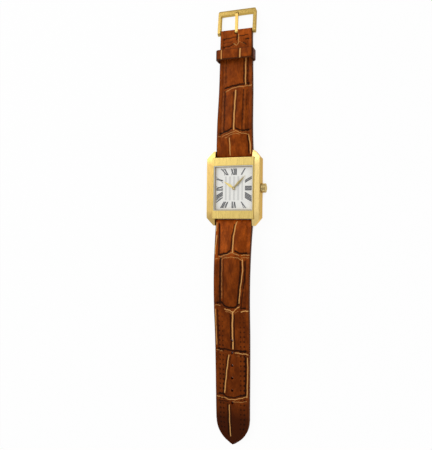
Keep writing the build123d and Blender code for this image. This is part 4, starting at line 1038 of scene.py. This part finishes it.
# Keeper: one leather loop with round corners and soft edges, and a seam line across the top
KEEPER_Y = 62.5
KEEPER_LENGTH = 4.7
KEEPER_WALL = 0.8
KEEPER_HALF = 9.079
KEEPER_HEIGHT = 6.708
KEEPER_CORNER = 1.6
KEEPER_SOFT = 0.26
KEEPER_TOP_ROWS = 12
KEEPER_UNDER_ROWS = 6
KEEPER_DARKENING = 0.3
KEEPER_PATTERN_FROM = 0.2
KEEPER_TAN = (
    (((-6.15, 59.0), (-6.1, 66.0)), 0.30, 0.9),
    (((2.75, 59.0), (2.95, 62.0), (3.0, 66.0)), 0.36, 1.0),
)
# Painted shade: dark lines beside the tan lines, on the loop's rounded ends and along its front
# and back edges
KEEPER_DARK = (
    (((-8.8, 59.0), (-8.8, 66.0)), 0.8, 0.75),
    (((8.8, 59.0), (8.8, 66.0)), 0.7, 0.75),
    (((-5.4, 59.0), (-5.4, 66.0)), 0.3, 0.6),
    (((2.0, 59.0), (2.2, 66.0)), 0.3, 0.7),
    (((3.7, 59.0), (3.9, 66.0)), 0.25, 0.5),
    (((-9.2, 60.3), (9.2, 60.3)), 0.4, 0.9),
    (((-9.2, 64.8), (9.2, 64.8)), 0.22, 0.5),
)


def rounded_path(half_width, low, high, radius, corner_steps, straight_steps):
    """Points and outward directions round an upright rectangle with round corners."""
    path = []
    centres = (
        (half_width - radius, high - radius, 90),
        (half_width - radius, low + radius, 0),
        (-half_width + radius, low + radius, -90),
        (-half_width + radius, high - radius, -180),
    )
    for number, (x, z, start) in enumerate(centres):
        for step in range(corner_steps + 1):
            turn = math.radians(start - 90 * step / corner_steps)
            direction = (math.cos(turn), math.sin(turn))
            path.append((x + radius * direction[0], z + radius * direction[1], *direction))
        end = path[-1]
        following = centres[(number + 1) % 4]
        turn = math.radians(following[2])
        goal = (following[0] + radius * math.cos(turn), following[1] + radius * math.sin(turn))
        steps = straight_steps[number % 2]
        for step in range(1, steps):
            between = [end[i] + (goal[i] - end[i]) * (step / steps) for i in (0, 1)]
            path.append((*between, end[2], end[3]))
    return path


def add_keeper():
    path = rounded_path(KEEPER_HALF, 0.0, KEEPER_HEIGHT, KEEPER_CORNER, 10, (10, 60))
    half = KEEPER_LENGTH / 2
    inner = half - KEEPER_SOFT
    rows = range(KEEPER_TOP_ROWS + 1)
    top = [(-inner + 2 * inner * row / KEEPER_TOP_ROWS, 0.0) for row in rows]
    section = edged_section(top, half, -KEEPER_WALL, KEEPER_SOFT, KEEPER_UNDER_ROWS)
    points = []
    marks = {"seam": [], "edge": [], "age": []}
    for x, z, out_x, out_z in path:
        on_top = max(0.0, out_z)
        patterned = on_top > KEEPER_PATTERN_FROM
        for number, (along, depth) in enumerate(section):
            outside = number < len(top)
            tan = dark = swell = 0.0
            if outside:
                swell = 0.10 * (1 - (along / half) ** 2) * on_top
            if outside and patterned:
                spot = numpy.array([x])
                tan = float(line_shares(spot, KEEPER_Y + along, KEEPER_TAN)[0])
                dark = float(line_shares(spot, KEEPER_Y + along, KEEPER_DARK)[0])
                swell -= 0.10 * tan + 0.12 * min(dark, 0.6)
            push = depth + swell
            points.append((x + out_x * push, KEEPER_Y + along, z + out_z * push))
            marks["seam"].append(tan)
            # Painted shade: the loop's sides, away from its top, are half dark
            marks["edge"].append((dark if patterned else 0.5) if outside else 1.0)
            marks["age"].append(KEEPER_DARKENING)
    loop = len(section)
    faces = skin_faces(len(path), loop, closed=True)
    first_under = len(top) + 2 * SIDE_COUNT + 1
    under = range(first_under, first_under + KEEPER_UNDER_ROWS - 2)
    piece = add_leather(
        "keeper_loop_leather", points, faces, marks, "keeper_loop", len(top), loop, under
    )
    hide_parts("keeper")


add_keeper()

# Camera: the angle, distance and lens found from points of the photograph
camera_data = bpy.data.cameras.new("camera")
camera = bpy.data.objects.new("camera", camera_data)
bpy.context.scene.collection.objects.link(camera)
camera.location = (0.0660941, -0.0186362, 0.2270544)
camera.rotation_euler = (0.0095, 0.3236, 0.0111)
camera_data.lens = 39.73
camera_data.sensor_width = 36.0
camera_data.clip_start = 0.01
bpy.context.scene.camera = camera


def add_light(name, place, target, size, power):
    """A square soft light that looks at a target, in metres and watts."""
    data = bpy.data.lights.new(name, "AREA")
    data.shape = "SQUARE"
    data.size = size
    data.energy = power
    light = bpy.data.objects.new(name, data)
    bpy.context.scene.collection.objects.link(light)
    light.location = place
    aim = Vector(target) - Vector(place)
    light.rotation_euler = aim.to_track_quat("-Z", "Y").to_euler()


add_light("key", (-0.62, 0.42, 0.70), (0, -0.02, 0), 0.8, 5.2)
add_light("fill", (0.65, -0.45, 0.55), (0, 0, 0), 0.7, 1.6)

# Studio: the sky lights the object at a plain level, the camera sees it white, and metal
# and glass reflect a little more of it than falls on the object
SKY_LEVEL = 0.5
SKY_SEEN = 0.5
SKY_REFLECTED = 0.14
FLOOR_GLOW = 0.94
FLOOR_SHADE_REACH = 0.009
FLOOR_HALF = 1.2
SEEN_RAYS = ("Is Camera Ray", "Is Glossy Ray", "Is Transmission Ray")


def ray_shares(tree):
    """1 for what the camera shows, and 1 for what a reflection or a clear glass shows."""
    path = tree.nodes.new("ShaderNodeLightPath")
    camera_ray, glossy, clear = [Channel(path.outputs[name]) for name in SEEN_RAYS]
    return camera_ray, (glossy + clear).clamped()


world = bpy.data.worlds.new("studio")
bpy.context.scene.world = world
world.use_nodes = True
sky = world.node_tree.nodes["Background"]
sky.inputs["Color"].default_value = (1.0, 1.0, 1.0, 1.0)
seen, reflected = ray_shares(world.node_tree)
join(sky.inputs["Strength"], seen * SKY_SEEN + reflected * SKY_REFLECTED + SKY_LEVEL)

# The floor looks white of itself, but less so close to the object, where its shade shows
floor_finish = Finish(
    "white_floor", Base_Color=(0.97, 0.97, 0.97, 1), Roughness=0.7, Specular_IOR_Level=0.1
)
floor_tree = floor_finish.tree
glow = floor_tree.nodes.new("ShaderNodeEmission")
glow_mix = floor_tree.nodes.new("ShaderNodeMixShader")
seen, reflected = ray_shares(floor_tree)
openness = floor_finish.openness(FLOOR_SHADE_REACH).steps(0.04, 0.46)
join(glow_mix.inputs["Fac"], (seen + reflected).clamped() * openness * FLOOR_GLOW)
floor_tree.links.new(floor_finish.shader.outputs[0], glow_mix.inputs[1])
floor_tree.links.new(glow.outputs[0], glow_mix.inputs[2])
floor_tree.links.new(glow_mix.outputs[0], floor_tree.nodes["Material Output"].inputs["Surface"])
shape = bmesh.new()
bmesh.ops.create_grid(shape, x_segments=2, y_segments=2, size=FLOOR_HALF)
floor_mesh = bpy.data.meshes.new("floor")
shape.to_mesh(floor_mesh)
shape.free()
floor_mesh.materials.append(floor_finish.data)
floor = bpy.data.objects.new("floor", floor_mesh)
bpy.context.scene.collection.objects.link(floor)

bpy.context.scene.view_settings.view_transform = "Standard"
